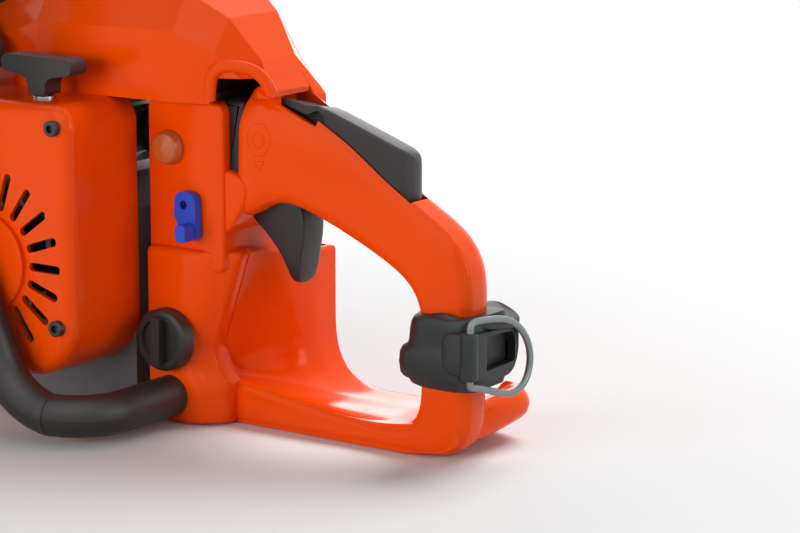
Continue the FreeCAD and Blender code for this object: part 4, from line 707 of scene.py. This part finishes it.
def hood_nose():
    """The top cover's rear end, closed down to the grip on the right and over the front of the lockout."""
    inset, middle, foot, over_foot = 0.15, 9, 184, 192.4
    # Each station: x, left and right side (both outward), height of the shoulder, height of the top.
    start = (143.5, 32, 23, 196.5, 204.1)
    stations = [(136, 34.7, 26, 201.3, 213.3), (138, 34, 25, 200, 212), (146.6, 30.9, 21.9, 194.5, 199.7),
                (149.6, 29.9, 21, 193, 195.8), (153.2, 28.6, 20.4, 189.4, 190.8)]

    def lean(shoulder, top):
        return min(14, (top - shoulder) * 1.2)

    over = [[(x, -left + inset, over_foot), (x, -left + inset, shoulder - inset),
             (x, -left + lean(shoulder, top), top - inset), (x, middle, top - inset), (x, middle, over_foot)]
            for x, left, right, shoulder, top in (start, *stations[2:4])]
    beside = [[(x, middle, foot), (x, middle, top - inset),
               (x, right - min(lean(shoulder, top), right - middle - 1), top - inset),
               (x, right - inset, shoulder - inset), (x, right - inset, foot)]
              for x, left, right, shoulder, top in stations]
    for name, rings in (("hood_nose_over", over), ("hood_nose_beside", beside)):
        verts, faces = skin(rings)
        nose = piece(name, verts, faces, ORANGE, slot="orange_shell", sharp=20)
        soften = nose.modifiers.new("soft_edges", "BEVEL")
        soften.width, soften.segments = SOFT_EDGE, 2


def embossed_mark(loop):
    """Raised octagon with a plain ring inside and a small triangle below, on the grip's left face."""
    centre, level, relief = 142.5, 168.5, 0.35
    outside, grip_left = -80, -30

    def on_face(across, up):
        x, z = centre + across, level + up
        hit, place, _, _ = loop.ray_cast(Vector((x, outside, z)) * MM, Vector((0, 1, 0)))
        return (x, place.y / MM if hit else grip_left, z)

    eighth = math.pi / 4
    corner_turns = [(k + 0.5) * eighth for k in range(9)]
    ring_turns = [k * eighth / 2 for k in range(17)]
    octagon = [on_face(7.2 * math.cos(turn), 9.6 * math.sin(turn)) for turn in corner_turns]
    ring = [on_face(3.4 * math.cos(turn), 4.4 * math.sin(turn)) for turn in ring_turns]
    triangle = [on_face(x, z) for x, z in ((-3.4, -12), (3.4, -12), (0, -17), (-3.4, -12))]
    for label, points in (("mark_octagon", octagon), ("mark_ring", ring), ("mark_triangle", triangle)):
        straight_bar(label, points, relief, ORANGE, "saw", "orange_shell")


def straight_bar(name, points, radius, material, body, slot):
    """A thin raised bar through points in millimetres, six-sided, with straight runs."""
    rings, last = [], len(points) - 1
    for i, here in enumerate(points):
        centre = Vector(here)
        before, after = Vector(points[max(0, i - 1)]), Vector(points[min(last, i + 1)])
        along = (after - before).normalized()
        across = along.cross(Vector((0, 1, 0))).normalized()
        out = across.cross(along)
        spokes = [across * math.cos(k * math.pi / 3) + out * math.sin(k * math.pi / 3) for k in range(6)]
        rings.append([tuple(centre + spoke * radius) for spoke in spokes])
    verts, faces = skin(rings)
    return piece(name, verts, faces, material, body=body, slot=slot, sharp=70)


# ---- lanyard clamp ----

def clamp_outline(grow):
    """Plan outline of the clamp's collar, grown by a distance."""
    front, left, right = 237 - grow, -28 - grow * 0.8, 20 + grow * 0.8
    corners = [(front, left), (front, right), (276, right), (280, 12), (280, -20), (274, left)]
    return soft_corners(corners, [17, 17, 6, 4, 4, 10], 8)


def clamp_collar():
    """Moulded collar with a raised band round its front."""
    # Each row: height, growth of the outline.
    profile = [(41.2, -6), (41.7, -3), (43, -0.8), (44.8, 0), (46, 0.3), (46.8, 2.6), (48.8, 3.8), (54, 4.4),
               (60, 4), (62.8, 3), (64.6, 0.6), (67, 0), (72, -0.3), (77, -1), (79.5, -2), (81.2, -4),
               (82, -7)]
    verts, faces = skin(layered(profile, lambda z, grow: clamp_outline(grow)))
    collar = piece("clamp_collar", verts, faces, CLAMP, slot="dark_grey_plastic", sharp=50)
    carve(collar, mouth_cutter())
    finish_mesh(collar, 50)
    return collar


def mouth_cutter(grow=0.0, low=275.4, high=300, name="cutter"):
    """The strap box's rounded mouth, as a closed form along x."""
    left, right = -8.8 - grow, 19.6 + grow
    corners = [(left, 51.6 - grow), (left, 71 + grow), (right, 69.6 + grow), (right, 52.2 - grow)]
    return prism(soft_corners(corners, [1.2, 1.2, 7, 3], 5), low, high, "x", name)


def clamp_box():
    """Strap box behind the post, open to the rear, with a curved underside and a rounded mouth whose back is a
    black plate of painted shade.
    """
    corners = [(-23, 46.5), (-23, 74.5), (24, 72.5), (24.5, 56), (18, 44.8), (-8, 44.6)]
    outline = soft_corners(corners, [3, 3, 7, 8, 8, 10], 6)
    centre = Vector((1, 60))
    rings = [[(x, centre.x + (p.x - centre.x) * grow, centre.y + (p.y - centre.y) * grow) for p in outline]
             for x, grow in ((262, 0.9), (264, 0.99), (270, 1), (280, 1), (281.6, 0.985), (282.2, 0.955))]
    verts, faces = skin(rings)
    box = piece("clamp_strap_box", verts, faces, CLAMP, slot="dark_grey_plastic", sharp=50)
    carve(box, mouth_cutter())
    finish_mesh(box, 40)
    # A black plate at the back of the mouth: painted shade of the box's dark inside.
    mouth_shade_plate = mouth_cutter(0.8, 275.1, 275.9, "clamp_mouth_painted_shade")
    mouth_shade_plate.data.materials.append(BLACK)
    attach(mouth_shade_plate, "saw")


def clamp_wing():
    """Wing that falls from the collar's top over the strap box."""
    crown, middle_x, middle_y = 82.2, 268, 1
    corners = [(250, -21), (250, 24), (268, 29), (283, 25), (286, 14), (280, -14), (268, -27)]
    outline = soft_corners(corners, [6, 8, 9, 7, 7, 10, 8], 6)

    def sag(x, y):
        """How far the wing falls to the rear and to the right, less a rise at its root."""
        rearward = max(0, (x - 264) / 22) ** 1.4 * 7.2
        sideways = max(0, (y - 4) / 22) ** 1.5 * 1.6
        return rearward + sideways - min(1, max(0, (x - 250) / 14)) * 2.2

    def sheet(drop, shrink):
        return [(middle_x + (x - middle_x) * shrink, (y - middle_y) * shrink + middle_y,
                 crown - sag(x, y) - drop) for x, y in outline]

    layers = ((5.4, 0.9), (4.6, 0.97), (3.2, 1), (1.4, 1), (0.4, 0.975), (0, 0.93))
    verts, faces = skin([sheet(drop, shrink) for drop, shrink in layers])
    piece("clamp_wing", verts, faces, CLAMP, slot="dark_grey_plastic", sharp=60)


def hinge_boss():
    """Rounded edge of the strap box that holds both ends of the ring."""
    x, y, sides = 283.6, -28.4, 24
    turns = [2 * math.pi * k / sides for k in range(sides)]
    rings = [[(x + radius * math.cos(turn), y + radius * math.sin(turn), z) for turn in turns]
             for z, radius in ((50.5, 3.6), (51.1, 4.6), (52.4, 5.0), (75, 5.0), (76.4, 4.6), (77, 3.6))]
    verts, faces = skin(rings)
    piece("clamp_hinge_boss", verts, faces, CLAMP, slot="dark_grey_plastic")
    side_shell("clamp_hinge_web", [(266, 52), (266, 75.5), (284, 75.5), (284, 52)], [7, 7, 4, 4],
               low=-31.4, high=-18, roll=3.4, material=CLAMP, slot="dark_grey_plastic")


def swing_ring():
    """Bent wire ring that hangs from the hinge."""
    x, wire = 284.5, 2.0
    path = [(-29, 70), (-29, 79), (-28.6, 82.6), (-22, 82.6), (-8, 81), (10, 78), (24, 69), (32.5, 56),
            (30.5, 41), (18, 33.8), (2, 37.2), (-14, 43), (-25, 46.2), (-29, 46.6), (-29, 49), (-29, 58)]
    return tube("ring_wire", [(x, y, z) for y, z in path], wire, RING, "ring", steps=8)


# ---- build the dressed pieces ----

loop = handle_loop()
foot_moulding()
tank_left()
tank_right()
carburettor_box()
hood_lip()
hood_nose()
embossed_mark(loop)
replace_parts(loop, "rear_handle_tank")
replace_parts(lockout(), "throttle_lockout")
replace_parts(trigger(), "throttle_trigger")
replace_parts(clamp_collar(), "lanyard_clamp")
clamp_box()
clamp_wing()
hinge_boss()
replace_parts(swing_ring(), "lanyard_ring")
